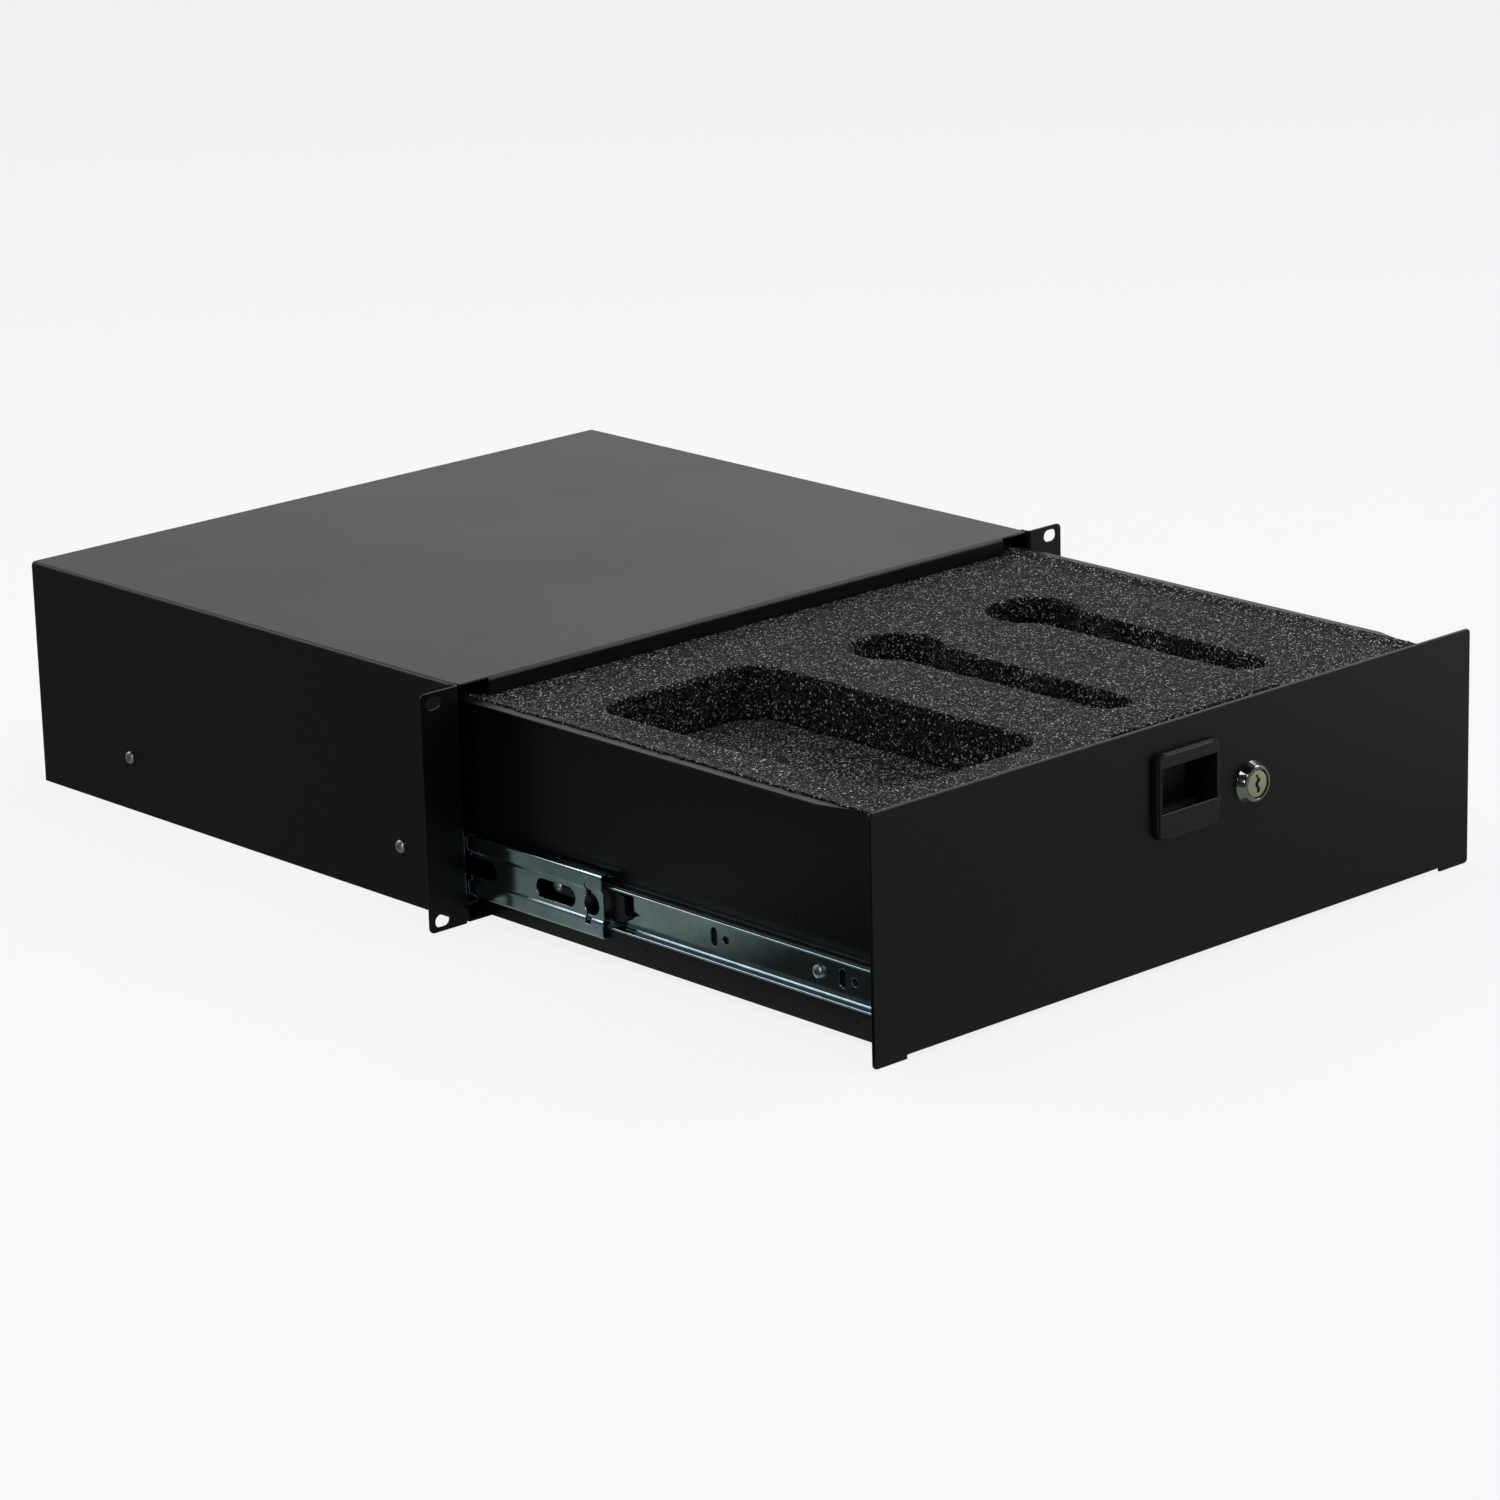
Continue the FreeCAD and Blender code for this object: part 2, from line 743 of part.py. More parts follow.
def front_panel():
    """The flat front: it covers the case, and two tabs hang beside the tray."""
    panel = box(-panel_half, panel_half, panel_front, panel_back, bottom, top)
    panel = panel.cut(box(-tray_side_x, tray_side_x, panel_front - 1, panel_back + 1,
                          bottom - 1, tray_under))
    panel = rounded_along(panel, V(0, 1, 0), panel_corner,
                          lambda middle: abs(middle.x) > panel_half - 1)
    rim = [edge for edge in panel.Edges
           if abs(edge.BoundBox.YMin - panel_front) < 1e-6
           and abs(edge.BoundBox.YMax - panel_front) < 1e-6]
    panel = panel.makeChamfer(panel_edge, rim)
    half = cup_width / 2 + cup_wall + panel_cut_clearance
    cup_hole = box(latch_x - half, latch_x + half, panel_front - 1, panel_back + 1,
                   cup_well - cup_wall - panel_cut_clearance,
                   cup_top + cup_wall + panel_cut_clearance)
    lock_hole = flatted_rod(barrel_radius + barrel_clearance,
                            barrel_flat / 2 + barrel_clearance, panel_front - 1, panel_back + 1)
    return cut_all(panel, [cup_hole, lock_hole])


def tray_side():
    """The left wall, with its rim turned out over the slide and a flange behind the panel."""
    path = [(tray_side_x, tray_under), (tray_side_x, tray_rim - tray_sheet),
            (tray_side_x + rim_flange, tray_rim - tray_sheet)]
    wall = folded_strip(path, tray_sheet, tray_bend, in_xz(panel_back), V(0, tray_depth, 0))
    nose_end = panel_back + rim_nose
    nose_start = nose_end - rim_nose_length
    rim_end = tray_side_x + rim_flange
    nose = [(rim_end + 1, panel_back - 1), (tray_side_x + rim_nose_width, panel_back - 1),
            (tray_side_x + rim_nose_width, nose_start), (rim_end, nose_end), (rim_end + 1, nose_end)]
    nose_z = tray_rim - 2 * tray_sheet
    wall = wall.cut(outline(nose, in_xy(nose_z), V(0, 0, top - nose_z)))
    flange = [(tray_side_x - tray_flange, panel_back), (tray_side_x, panel_back),
              (tray_side_x, panel_back + tray_sheet + 2 * tray_bend)]
    flange_low = tray_under + tray_sheet + tray_bend
    flange_high = tray_rim - 2 * tray_sheet - 2 * tray_bend
    wall = wall.cut(box(tray_inner_x - 1, tray_side_x + 1, panel_back - 1,
                        panel_back + tray_sheet + 2 * tray_bend, flange_low, flange_high))
    fold = folded_strip(flange, tray_sheet, tray_bend, in_xy(flange_low),
                        V(0, 0, flange_high - flange_low))
    wall = fused([wall, fold])
    tools = [flatted_pin(screw_radius + screw_clearance, V(tray_side_x + 1, y, slide_z),
                         V(tray_inner_x - 1, y, slide_z)) for y in tray_screw_places()]
    for back, level in weld_marks:
        centre = V(tray_side_x, panel_back + back, bottom + level)
        tools.append(flatted_pin(weld_mark_radius, centre - V(weld_mark_depth, 0, 0),
                                 centre + V(1, 0, 0)))
    return mirrored(cut_all(wall, tools))


def tray_floor():
    """The floor, with flanges turned up inside the side walls and behind the panel. The side
    flanges stop where those of the back wall begin."""
    reach = tray_inner_x
    root = reach - 2 * (tray_sheet + tray_bend)
    front_root = panel_back + 2 * (tray_sheet + tray_bend)
    run = tray_rear - tray_flange - flange_gap - front_root
    plate = box(-root, root, front_root, tray_rear, tray_under, tray_under + tray_sheet)
    tail = box(-tray_inner_x, tray_inner_x, front_root + run, tray_rear,
               tray_under, tray_under + tray_sheet)
    side = [(root, tray_under), (reach, tray_under), (reach, tray_under + tray_flange)]
    side_fold = folded_strip(side, tray_sheet, tray_bend, in_xz(front_root), V(0, run, 0))
    front = [(panel_back, tray_under + tray_flange), (panel_back, tray_under),
             (front_root, tray_under)]
    front_half = tray_side_x - tray_flange - flange_gap
    front_fold = folded_strip(front, tray_sheet, tray_bend, in_yz(-front_half),
                              V(2 * front_half, 0, 0))
    return fused([plate, tail, side_fold, mirrored(side_fold), front_fold])


def tray_back():
    """The rear wall, flanged forward inside the side walls and standing on the floor."""
    low = tray_under + tray_sheet
    path = [(tray_inner_x, tray_rear - tray_flange), (tray_inner_x, tray_rear),
            (-tray_inner_x, tray_rear), (-tray_inner_x, tray_rear - tray_flange)]
    height = tray_rim - back_wall_drop - low
    return folded_strip(path, tray_sheet, tray_bend, in_xy(low), V(0, 0, height))


# ---------------------------------------------------------------- foam

foam_x = tray_inner_x - foam_clearance
foam_flange_x = foam_x - tray_sheet
foam_front = panel_back + tray_sheet + foam_clearance
foam_rear = tray_rear - tray_sheet - foam_clearance
foam_split = foam_top_level - foam_layer
drive_pocket_x = -tray_inner_x + drive_pocket_wall + drive_pocket_width / 2
drive_pocket_y = panel_back + drive_pocket_front + drive_pocket_length / 2


def mic_pocket_places():
    """The centres of the microphone heads, from the right wall and the front panel."""
    return [(tray_inner_x - wall, panel_back + front)
            for wall, front in zip(mic_pocket_walls, mic_pocket_fronts)]


def lock_notch(low, high):
    """The clearance cut in the foam for the latch, the lock and the swing of its cam."""
    return box(latch_x - notch_left, lock_x + notch_right, foam_front - 1,
               panel_front + notch_depth, low, high)


def foam_layer_with_pockets():
    foam = box(-foam_x, foam_x, foam_front, foam_rear, foam_split, foam_top_level)
    low = foam_split - 1
    high = foam_top_level + 1
    half_x = drive_pocket_width / 2
    half_y = drive_pocket_length / 2
    drive = box(drive_pocket_x - half_x, drive_pocket_x + half_x,
                drive_pocket_y - half_y, drive_pocket_y + half_y, low, high)
    drive = rounded_along(drive, V(0, 0, 1), drive_pocket_corner, lambda middle: True)
    flange = box(foam_flange_x, foam_x + 1, tray_rear - tray_flange - foam_clearance, tray_rear,
                 low, high)
    tools = [drive, lock_notch(low, high), flange, mirrored(flange)]
    for x, y in mic_pocket_places():
        tools.append(rod(mic_head_radius, V(x, y, low), V(x, y, high)))
        tail = y - mic_pocket_length
        handle = outline([(x - mic_neck_radius, y), (x - mic_tail_radius, tail),
                          (x + mic_tail_radius, tail), (x + mic_neck_radius, y)],
                         in_xy(low), V(0, 0, high - low))
        tools.append(handle)
        tools.append(rod(mic_tail_radius, V(x, tail, low), V(x, tail, high)))
    return cut_all(foam, tools)


def foam_base():
    low = tray_under + tray_sheet
    side = foam_flange_x - tray_bend
    foam = box(-side, side, foam_front + tray_bend, foam_rear, low, foam_split)
    return foam.cut(lock_notch(notch_bottom, foam_split + 1))


# ---------------------------------------------------------------- latch

cup_half = cup_width / 2
cup_rear = panel_front + cup_depth
bolt_front = cup_rear + bolt_clearance
bolt_rear = bolt_front + bolt_sheet
cheek_rear = cup_rear + cheek_length


def latch_housing():
    """A moulded bezel and finger cup; cheeks at its back guide the sliding bolt."""
    bezel = box(latch_x - latch_width / 2, latch_x + latch_width / 2, latch_front, panel_front,
                latch_z - latch_height / 2, latch_z + latch_height / 2)
    bezel = rounded_along(bezel, V(0, 1, 0), latch_corner, lambda middle: True)
    rim = [edge for edge in bezel.Edges
           if abs(edge.BoundBox.YMin - latch_front) < 1e-6
           and abs(edge.BoundBox.YMax - latch_front) < 1e-6]
    bezel = bezel.makeChamfer(latch_edge, rim)
    outer = cup_half + cup_wall
    tube = box(latch_x - outer, latch_x + outer, panel_front, cup_rear,
               cup_well - cup_wall, cup_top + cup_wall)
    cheeks = [box(latch_x - outer, latch_x - cup_half, cup_rear, cheek_rear,
                  cup_well - cup_wall, cup_top + cup_wall),
              box(latch_x + cup_half, latch_x + outer, cup_rear, cheek_rear,
                  cup_well - cup_wall, cup_top + cup_wall),
              box(latch_x - outer, latch_x + outer, cup_rear, cheek_rear,
                  cup_well - cup_wall, cup_well)]
    lip_front = bolt_rear + bolt_clearance
    for start, end in ((latch_x - cup_half, latch_x - cup_half + cheek_lip),
                       (latch_x + cup_half - cheek_lip, latch_x + cup_half)):
        cheeks.append(box(start, end, lip_front, lip_front + cheek_lip_sheet,
                          cup_well - cup_wall, cup_top + cup_wall))
    housing = fused([bezel, tube] + cheeks)
    mouth = box(latch_x - cup_half, latch_x + cup_half, latch_front - 1, cup_rear,
                cup_bottom, cup_top)
    well = box(latch_x - cup_half, latch_x + cup_half, latch_front + cup_front_wall, cup_rear,
               cup_well, cup_top)
    return cut_all(housing, [mouth, well])


def latch_bolt():
    """The bolt: a plate with a finger ledge, and a hook that rises behind the case's lip."""
    half = cup_half - bolt_side_clearance
    plate = box(latch_x - half, latch_x + half, bolt_front, bolt_rear, bolt_bottom,
                arm_under + arm_height)
    ledge = box(latch_x - half, latch_x + half, bolt_front - ledge_depth, bolt_front,
                bolt_bottom, bolt_bottom + ledge_height)
    shoulder_z = cup_top - 1
    shoulders = [box(latch_x - half - 1, latch_x - arm_width / 2, bolt_front - 1, bolt_rear + 1,
                     shoulder_z, top),
                 box(latch_x + arm_width / 2, latch_x + half + 1, bolt_front - 1, bolt_rear + 1,
                     shoulder_z, top)]
    plate = cut_all(plate, shoulders)
    hook_front = panel_back + closed_gap + case_sheet + hook_gap
    arm = box(latch_x - arm_width / 2, latch_x + arm_width / 2, hook_front, bolt_rear,
              arm_under, arm_under + arm_height)
    hook = outline([(hook_front, arm_under), (hook_front + hook_depth + hook_slope, arm_under),
                    (hook_front + hook_depth + hook_slope, arm_under + arm_height),
                    (hook_front + hook_depth - hook_slope, hook_top), (hook_front, hook_top)],
                   in_yz(latch_x - arm_width / 2), V(arm_width, 0, 0))
    seat_z = cup_well + spring_height
    half_seat = spring_width / 2
    seat = box(latch_x - half_seat, latch_x + half_seat, bolt_rear, bolt_rear + spring_bow,
               seat_z, seat_z + spring_seat)
    return fused([plate, ledge, arm, hook, seat])


def latch_spring():
    """A bowed leaf of spring steel between the housing's floor and the bolt."""
    foot_y = bolt_rear + spring_sheet + spring_clearance
    low = cup_well
    high = cup_well + spring_height
    middle = (low + high) / 2

    def bow(shift):
        ends = (V(latch_x - spring_width / 2, foot_y + shift, low),
                V(latch_x - spring_width / 2, foot_y + shift, high))
        crest = V(latch_x - spring_width / 2, foot_y + spring_bow + shift - spring_sheet, middle)
        return Part.Arc(ends[0], crest, ends[1]).toShape(), ends
    near, near_ends = bow(-spring_sheet)
    far, far_ends = bow(0)
    caps = [Part.LineSegment(near_ends[step], far_ends[step]).toShape() for step in (0, 1)]
    wire = Part.Wire(Part.__sortEdges__([near, far] + caps))
    return Part.Face(wire).extrude(V(spring_width, 0, 0))


# ---------------------------------------------------------------- lock

def lock_axis(y):
    return V(lock_x, y, lock_z)


def flatted_rod(radius, half_flat, y0, y1):
    body = rod(radius, lock_axis(y0), lock_axis(y1))
    return body.common(box(lock_x - half_flat, lock_x + half_flat, y0, y1,
                           lock_z - radius, lock_z + radius))


barrel_rear = panel_front + barrel_length


def lock_body():
    foot_front = panel_front - collar_foot
    foot = rod(collar_radius, lock_axis(foot_front), lock_axis(panel_front))
    cone = Part.makeCone(collar_radius, collar_front_radius, collar_proud - collar_foot,
                         lock_axis(foot_front), V(0, -1, 0))
    barrel = flatted_rod(barrel_radius, barrel_flat / 2, panel_front, barrel_rear)
    body = fused([foot, cone, barrel])
    return body.cut(rod(plug_radius + plug_clearance, lock_axis(panel_front - collar_proud - 1),
                        lock_axis(barrel_rear + 1)))


def hexagon(width, y, height):
    """A six-sided plate about the lock's axis, its width measured across the flats."""
    return flatted_pin(width / math.sqrt(3), lock_axis(y), lock_axis(y + height), 6)


def lock_nut():
    nut = hexagon(nut_width, panel_back, nut_height)
    return nut.cut(flatted_rod(barrel_radius, barrel_flat / 2, panel_back - 1,
                               panel_back + nut_height + 1))


def lock_plug():
    """The turning plug: a stepped keyway in front and a square at the back for the cam."""
    face = panel_front - collar_proud + plug_recess
    plug = rod(plug_radius, lock_axis(face), lock_axis(barrel_rear))
    half = drive_square / 2
    square = box(lock_x - half, lock_x + half, barrel_rear, barrel_rear + cam_sheet,
                 lock_z - half, lock_z + half)
    plug = fused([plug, square])
    third = keyway_height / 3
    for step, shift in ((-1, keyway_step / 2), (0, -keyway_step / 2), (1, keyway_step / 2)):
        x = lock_x + shift
        z = lock_z + step * third
        plug = plug.cut(box(x - keyway_width / 2, x + keyway_width / 2, face - 1,
                            face + keyway_depth, z - third / 2, z + third / 2))
    bore = flatted_pin(cam_screw_radius, lock_axis(barrel_rear + cam_sheet - cam_screw_length),
               lock_axis(barrel_rear + cam_sheet + 1))
    return plug.cut(bore)


def lock_cam():
    """A cranked steel cam; it points to the right when unlocked and turns up to lock."""
    start = barrel_rear
    path = [(lock_x - cam_hub, start), (lock_x + cam_crank_start, start),
            (lock_x + cam_crank_start + cam_crank_run, start - cam_crank_offset),
            (lock_x + cam_reach, start - cam_crank_offset)]
    low = lock_z - cam_width / 2
    cam = folded_strip(path, cam_sheet, tray_bend, in_xy(low), V(0, 0, cam_width))
    cam = rounded_along(cam, V(0, 1, 0), cam_corner,
                        lambda middle: middle.x < lock_x or middle.x > lock_x + cam_reach - 1)
    half = drive_square / 2 + drive_clearance
    return cam.cut(box(lock_x - half, lock_x + half, start - 1, start + cam_sheet + 1,
                       lock_z - half, lock_z + half))


def lock_cam_screw():
    """The hexagon-head screw, slotted as well, that clamps the cam to the plug."""
    seat = barrel_rear + cam_sheet
    head = hexagon(cam_screw_head_width, seat, cam_screw_head_height)
    shank = flatted_pin(cam_screw_radius, lock_axis(seat - cam_screw_length), lock_axis(seat))
    screw = fused([head, shank])
    slot = box(lock_x - cam_screw_head_width, lock_x + cam_screw_head_width,
               seat + cam_screw_head_height / 2, seat + cam_screw_head_height + 1,
               lock_z - recess_width / 2, lock_z + recess_width / 2)
    return screw.cut(slot)


# ---------------------------------------------------------------- all pieces

def build():
    export("case_cover", case_cover())
    export("case_base", case_base())
    export("case_slide_screws", case_slide_screws())
    export("front_panel", front_panel())
    export("tray_floor", tray_floor())
    export("tray_back", tray_back())
    export("tray_slide_screws", tray_slide_screws())
    export("foam_base", foam_base())
    export("foam_top", foam_layer_with_pockets())
    export("latch_housing", latch_housing())
    export("latch_bolt", latch_bolt())
    export("latch_spring", latch_spring())
    export("lock_body", lock_body())
    export("lock_nut", lock_nut())
    export("lock_plug", lock_plug())
    export("lock_cam", lock_cam())
    export("lock_cam_screw", lock_cam_screw())
    rivet = lever_rivet()
    export("lever_rivets", Part.makeCompound([rivet, mirrored(rivet)]))
    slide = {
        "cabinet_member": cabinet_member(),
        "intermediate_member": intermediate_member(),
        "drawer_member": drawer_member(),
        "outer_cage": cage(outer_cage_start, outer_cage_length, outer_cage_start_u,
                           outer_cage_end_u, outer_row, outer_places()),
        "outer_balls": balls(outer_places(), outer_ball_radius),
        "inner_cage": cage(inner_cage_start, inner_cage_length, inner_cage_start_u,
                           inner_cage_end_u, inner_row, inner_places()),
        "inner_balls": balls(inner_places(), inner_ball_radius),
        "tray_side": tray_side(),
    }
    for side in ("left", "right"):
        for name, body in slide.items():
            export(side + "_" + name, on_side(body, side))
        export(side + "_release_lever", on_side(release_lever(side), side))


os.makedirs("parts", exist_ok=True)
build()
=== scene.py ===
import math

import bmesh
import bpy
from mathutils import Matrix, Vector, noise
from mathutils.bvhtree import BVHTree


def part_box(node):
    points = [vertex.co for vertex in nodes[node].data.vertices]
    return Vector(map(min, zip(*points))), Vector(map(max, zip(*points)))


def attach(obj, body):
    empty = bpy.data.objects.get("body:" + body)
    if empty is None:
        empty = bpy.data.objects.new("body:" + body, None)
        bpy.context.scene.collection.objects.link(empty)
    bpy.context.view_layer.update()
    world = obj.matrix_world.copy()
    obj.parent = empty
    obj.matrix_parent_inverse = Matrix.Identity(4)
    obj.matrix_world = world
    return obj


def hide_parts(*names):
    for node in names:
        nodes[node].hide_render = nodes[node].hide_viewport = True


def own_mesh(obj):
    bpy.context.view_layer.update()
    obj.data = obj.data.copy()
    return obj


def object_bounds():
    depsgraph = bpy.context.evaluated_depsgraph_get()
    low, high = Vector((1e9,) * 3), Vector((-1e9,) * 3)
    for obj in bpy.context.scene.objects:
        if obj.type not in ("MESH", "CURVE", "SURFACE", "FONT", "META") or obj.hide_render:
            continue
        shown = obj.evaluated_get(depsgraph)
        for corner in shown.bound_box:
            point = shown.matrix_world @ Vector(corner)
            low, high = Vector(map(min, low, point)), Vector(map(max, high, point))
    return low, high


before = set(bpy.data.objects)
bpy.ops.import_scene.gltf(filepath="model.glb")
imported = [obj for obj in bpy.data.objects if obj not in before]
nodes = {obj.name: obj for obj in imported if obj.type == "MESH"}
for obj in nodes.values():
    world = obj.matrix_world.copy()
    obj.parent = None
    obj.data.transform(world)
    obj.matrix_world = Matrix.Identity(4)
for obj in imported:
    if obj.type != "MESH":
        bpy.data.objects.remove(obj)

cad_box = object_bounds()
scene = bpy.context.scene
mm = 0.001


# ---------------------------------------------------------------- camera
# A long lens from above the left front corner, turned slightly about its own axis. The frame is
# square, so the sensor's width serves both ways.

camera_place = (-1.96446, -2.14986, 0.86381)
camera_heading = 0.73865
camera_pitch = 0.29398
camera_roll = -0.02731
camera_lens = 130.8

camera_data = bpy.data.cameras.new("camera")
camera_data.sensor_fit = "HORIZONTAL"
camera_data.sensor_width = 36.0
camera_data.lens = camera_lens
camera_data.clip_end = 100.0
camera = bpy.data.objects.new("camera", camera_data)
scene.collection.objects.link(camera)
turn = (Matrix.Rotation(-camera_heading, 3, "Z")
        @ Matrix.Rotation(math.pi / 2 - camera_pitch, 3, "X")
        @ Matrix.Rotation(camera_roll, 3, "Z"))
camera.location = camera_place
camera.rotation_euler = turn.to_euler()
scene.camera = camera


# ---------------------------------------------------------------- floor, sky and lamps
# A pale studio floor under a wide soft lamp, with a white wall behind. The camera sees the floor
# and the wall as white; the object's gloss meets a duller room in front, a bright one behind, and a
# painted reflection on the floor.

def linear(hex_colour):
    """An sRGB hex colour as linear RGBA."""
    channels = [int(hex_colour[i:i + 2], 16) / 255 for i in (1, 3, 5)]
    return [c / 12.92 if c <= 0.04045 else ((c + 0.055) / 1.055) ** 2.4 for c in channels] + [1.0]


def add_node(tree, kind, settings=None, links=None):
    """Adds a node, sets its sockets or properties, and links its inputs from other sockets."""
    made = tree.nodes.new("ShaderNode" + kind)
    for name, value in (settings or {}).items():
        if isinstance(name, int) or name in made.inputs:
            made.inputs[name].default_value = value
        else:
            setattr(made, name, value)
    for name, socket in (links or {}).items():
        tree.links.new(socket, made.inputs[name])
    return made


def new_material(name):
    """An empty material and its node tree."""
    material = bpy.data.materials.new(name)
    material.use_nodes = True
    material.node_tree.nodes.clear()
    return material, material.node_tree


def plain_piece(name, bm, material):
    """A mesh object from a bmesh, with its faces turned outward."""
    bmesh.ops.recalc_face_normals(bm, faces=bm.faces)
    mesh = bpy.data.meshes.new(name)
    bm.to_mesh(mesh)
    bm.free()
    mesh.materials.append(material)
    made = bpy.data.objects.new(name, mesh)
    scene.collection.objects.link(made)
    return made


floor_size = 12.0
floor_drop = 0.4 * mm
paper_white = 0.96
paper_share = 0.88

# What the gloss of the object meets on the floor is painted: to glossy rays the floor glows in a
# placed pattern, a painted reflection with painted shade beside the drawer, paler towards the case,
# dimmer again along the case, pale to the right in front of the panel, and a painted lit strip under
# the drawn-out drawer. The places are in metres.
toward_case = {"From Min": -0.178, "From Max": -0.065, "To Min": 0.02, "To Max": 0.26,
               "interpolation_type": "SMOOTHSTEP"}
along_case = {"From Min": -0.05, "From Max": 0.03, "To Min": 1.0, "To Max": 0.66}
toward_right = {"From Min": -0.1, "From Max": 0.6, "To Min": 0.1, "To Max": 0.66}
before_panel = {"From Min": -0.4, "From Max": -0.3, "To Min": 1.0, "To Max": 0.0}
under_drawer = {"From Min": -0.24, "From Max": -0.23, "To Min": 0.0, "To Max": 0.36}
before_case = {"From Min": -0.03, "From Max": -0.01, "To Min": 1.0, "To Max": 0.0}

floor_material, tree = new_material("studio_floor")
rays = add_node(tree, "LightPath")
place = add_node(tree, "TexCoord")
spot = add_node(tree, "SeparateXYZ", links={0: place.outputs["Object"]})
beside = add_node(tree, "MapRange", toward_case, {"Value": spot.outputs["Y"]})
fading = add_node(tree, "MapRange", along_case, {"Value": spot.outputs["Y"]})
flank = add_node(tree, "Math", {"operation": "MULTIPLY"},
                 {0: beside.outputs[0], 1: fading.outputs[0]})
ahead = add_node(tree, "MapRange", toward_right, {"Value": spot.outputs["X"]})
front = add_node(tree, "MapRange", before_panel, {"Value": spot.outputs["Y"]})
before = add_node(tree, "Math", {"operation": "MULTIPLY"},
                  {0: ahead.outputs[0], 1: front.outputs[0]})
under = add_node(tree, "MapRange", under_drawer, {"Value": spot.outputs["X"]})
drawn_out = add_node(tree, "MapRange", before_case, {"Value": spot.outputs["Y"]})
painted_lit_strip = add_node(tree, "Math", {"operation": "MULTIPLY"},
                     {0: under.outputs[0], 1: drawn_out.outputs[0]})
around = add_node(tree, "Math", {"operation": "MAXIMUM"},
                  {0: flank.outputs[0], 1: before.outputs[0]})
painted_reflection_tone = add_node(tree, "Math", {"operation": "MAXIMUM"},
                {0: around.outputs[0], 1: painted_lit_strip.outputs[0]})
# Painted reflection: a glow that only glossy rays see, in the tone placed above, so the object mirrors
# painted light and painted shade.
painted_reflection = add_node(tree, "Emission", {"Color": linear("#f2fff6")}, {"Strength": painted_reflection_tone.outputs[0]})
unseen = add_node(tree, "BsdfDiffuse", {"Color": linear("#8a8d8f")})
shaded = add_node(tree, "BsdfDiffuse", {"Color": linear("#f2f2f2")})
paper = add_node(tree, "Emission", {"Color": linear("#ffffff"), "Strength": paper_white})
seen = add_node(tree, "MixShader", {0: paper_share}, {1: shaded.outputs[0], 2: paper.outputs[0]})
bounced = add_node(tree, "MixShader", links={0: rays.outputs["Is Glossy Ray"], 1: unseen.outputs[0],
                                             2: painted_reflection.outputs[0]})
mixed = add_node(tree, "MixShader", links={0: rays.outputs["Is Camera Ray"], 1: bounced.outputs[0],
                                           2: seen.outputs[0]})
add_node(tree, "OutputMaterial", links={"Surface": mixed.outputs[0]})
bm = bmesh.new()
bmesh.ops.create_grid(bm, x_segments=1, y_segments=1, size=floor_size / 2)
floor = plain_piece("studio_floor", bm, floor_material)
floor.location = (0, 0, cad_box[0][2] - floor_drop)

# The wall is bright past the far corner of the object, more so to the right, and dim overhead.
far_corner = (0.67, 0.74, 0.0)
rightward = (0.74, -0.67, 0.0)
toward_far_corner = {"From Min": 0.0, "From Max": 0.6, "To Min": 0.06, "To Max": 0.76}
left_to_right = {"From Min": -0.25, "From Max": 0.25, "To Min": 0.76, "To Max": 1.44}
overhead = {"From Min": 0.5, "From Max": 0.85, "To Min": 1.0, "To Max": 0.25}

world = bpy.data.worlds.new("studio")
world.use_nodes = True
tree = world.node_tree
tree.nodes.clear()
rays = add_node(tree, "LightPath")
way = add_node(tree, "TexCoord")
parts = add_node(tree, "SeparateXYZ", links={0: way.outputs["Generated"]})
behind = add_node(tree, "VectorMath", {"operation": "DOT_PRODUCT", 1: far_corner},
                  {0: way.outputs["Generated"]})
wall = add_node(tree, "MapRange", toward_far_corner, {"Value": behind.outputs["Value"]})
across = add_node(tree, "VectorMath", {"operation": "DOT_PRODUCT", 1: rightward},
                  {0: way.outputs["Generated"]})
slant = add_node(tree, "MapRange", left_to_right, {"Value": across.outputs["Value"]})
above = add_node(tree, "MapRange", overhead, {"Value": parts.outputs["Z"]})
level = add_node(tree, "Math", {"operation": "MULTIPLY"}, {0: wall.outputs[0], 1: above.outputs[0]})
room = add_node(tree, "Math", {"operation": "MULTIPLY"}, {0: level.outputs[0], 1: slant.outputs[0]})
dull = add_node(tree, "Background", {"Color": linear("#f8f8f7")}, {"Strength": room.outputs[0]})
white = add_node(tree, "Background", {"Color": linear("#ffffff"), "Strength": 1.0})
mixed = add_node(tree, "MixShader", links={0: rays.outputs["Is Camera Ray"], 1: dull.outputs[0],
                                           2: white.outputs[0]})
add_node(tree, "OutputWorld", links={"Surface": mixed.outputs[0]})
scene.world = world

# Each lamp: where it stands, what it faces, its size in metres, watts, tint, and whether gloss shows it.
lamps = {
    "overhead_softbox": ((-0.3, -0.1, 2.2), (0, 0, 0), (2.2, 1.8), 30, "#ffffff", False),
    "right_softbox": ((1.95, -0.75, 2.05), (0, 0, 0), (1.6, 1.0), 18, "#ffffff", True),
    "rear_strip": ((-1.0, 2.1, 1.9), (0, 0, 0), (1.8, 0.7), 14, "#ffffff", True),
    "front_left_softbox": ((-1.6, -1.5, 2.2), (0, -0.1, 0), (0.9, 0.7), 7, "#ffffff", True),
    "left_glint": ((-2.42, -0.76, 0.72), (0, -0.2, 0), (0.35, 0.45), 7, "#dbe9ff", True),
    "front_fill": ((1.9, -2.1, 1.25), (0, -0.3, 0), (0.9, 0.7), 8, "#ffffff", True),
}
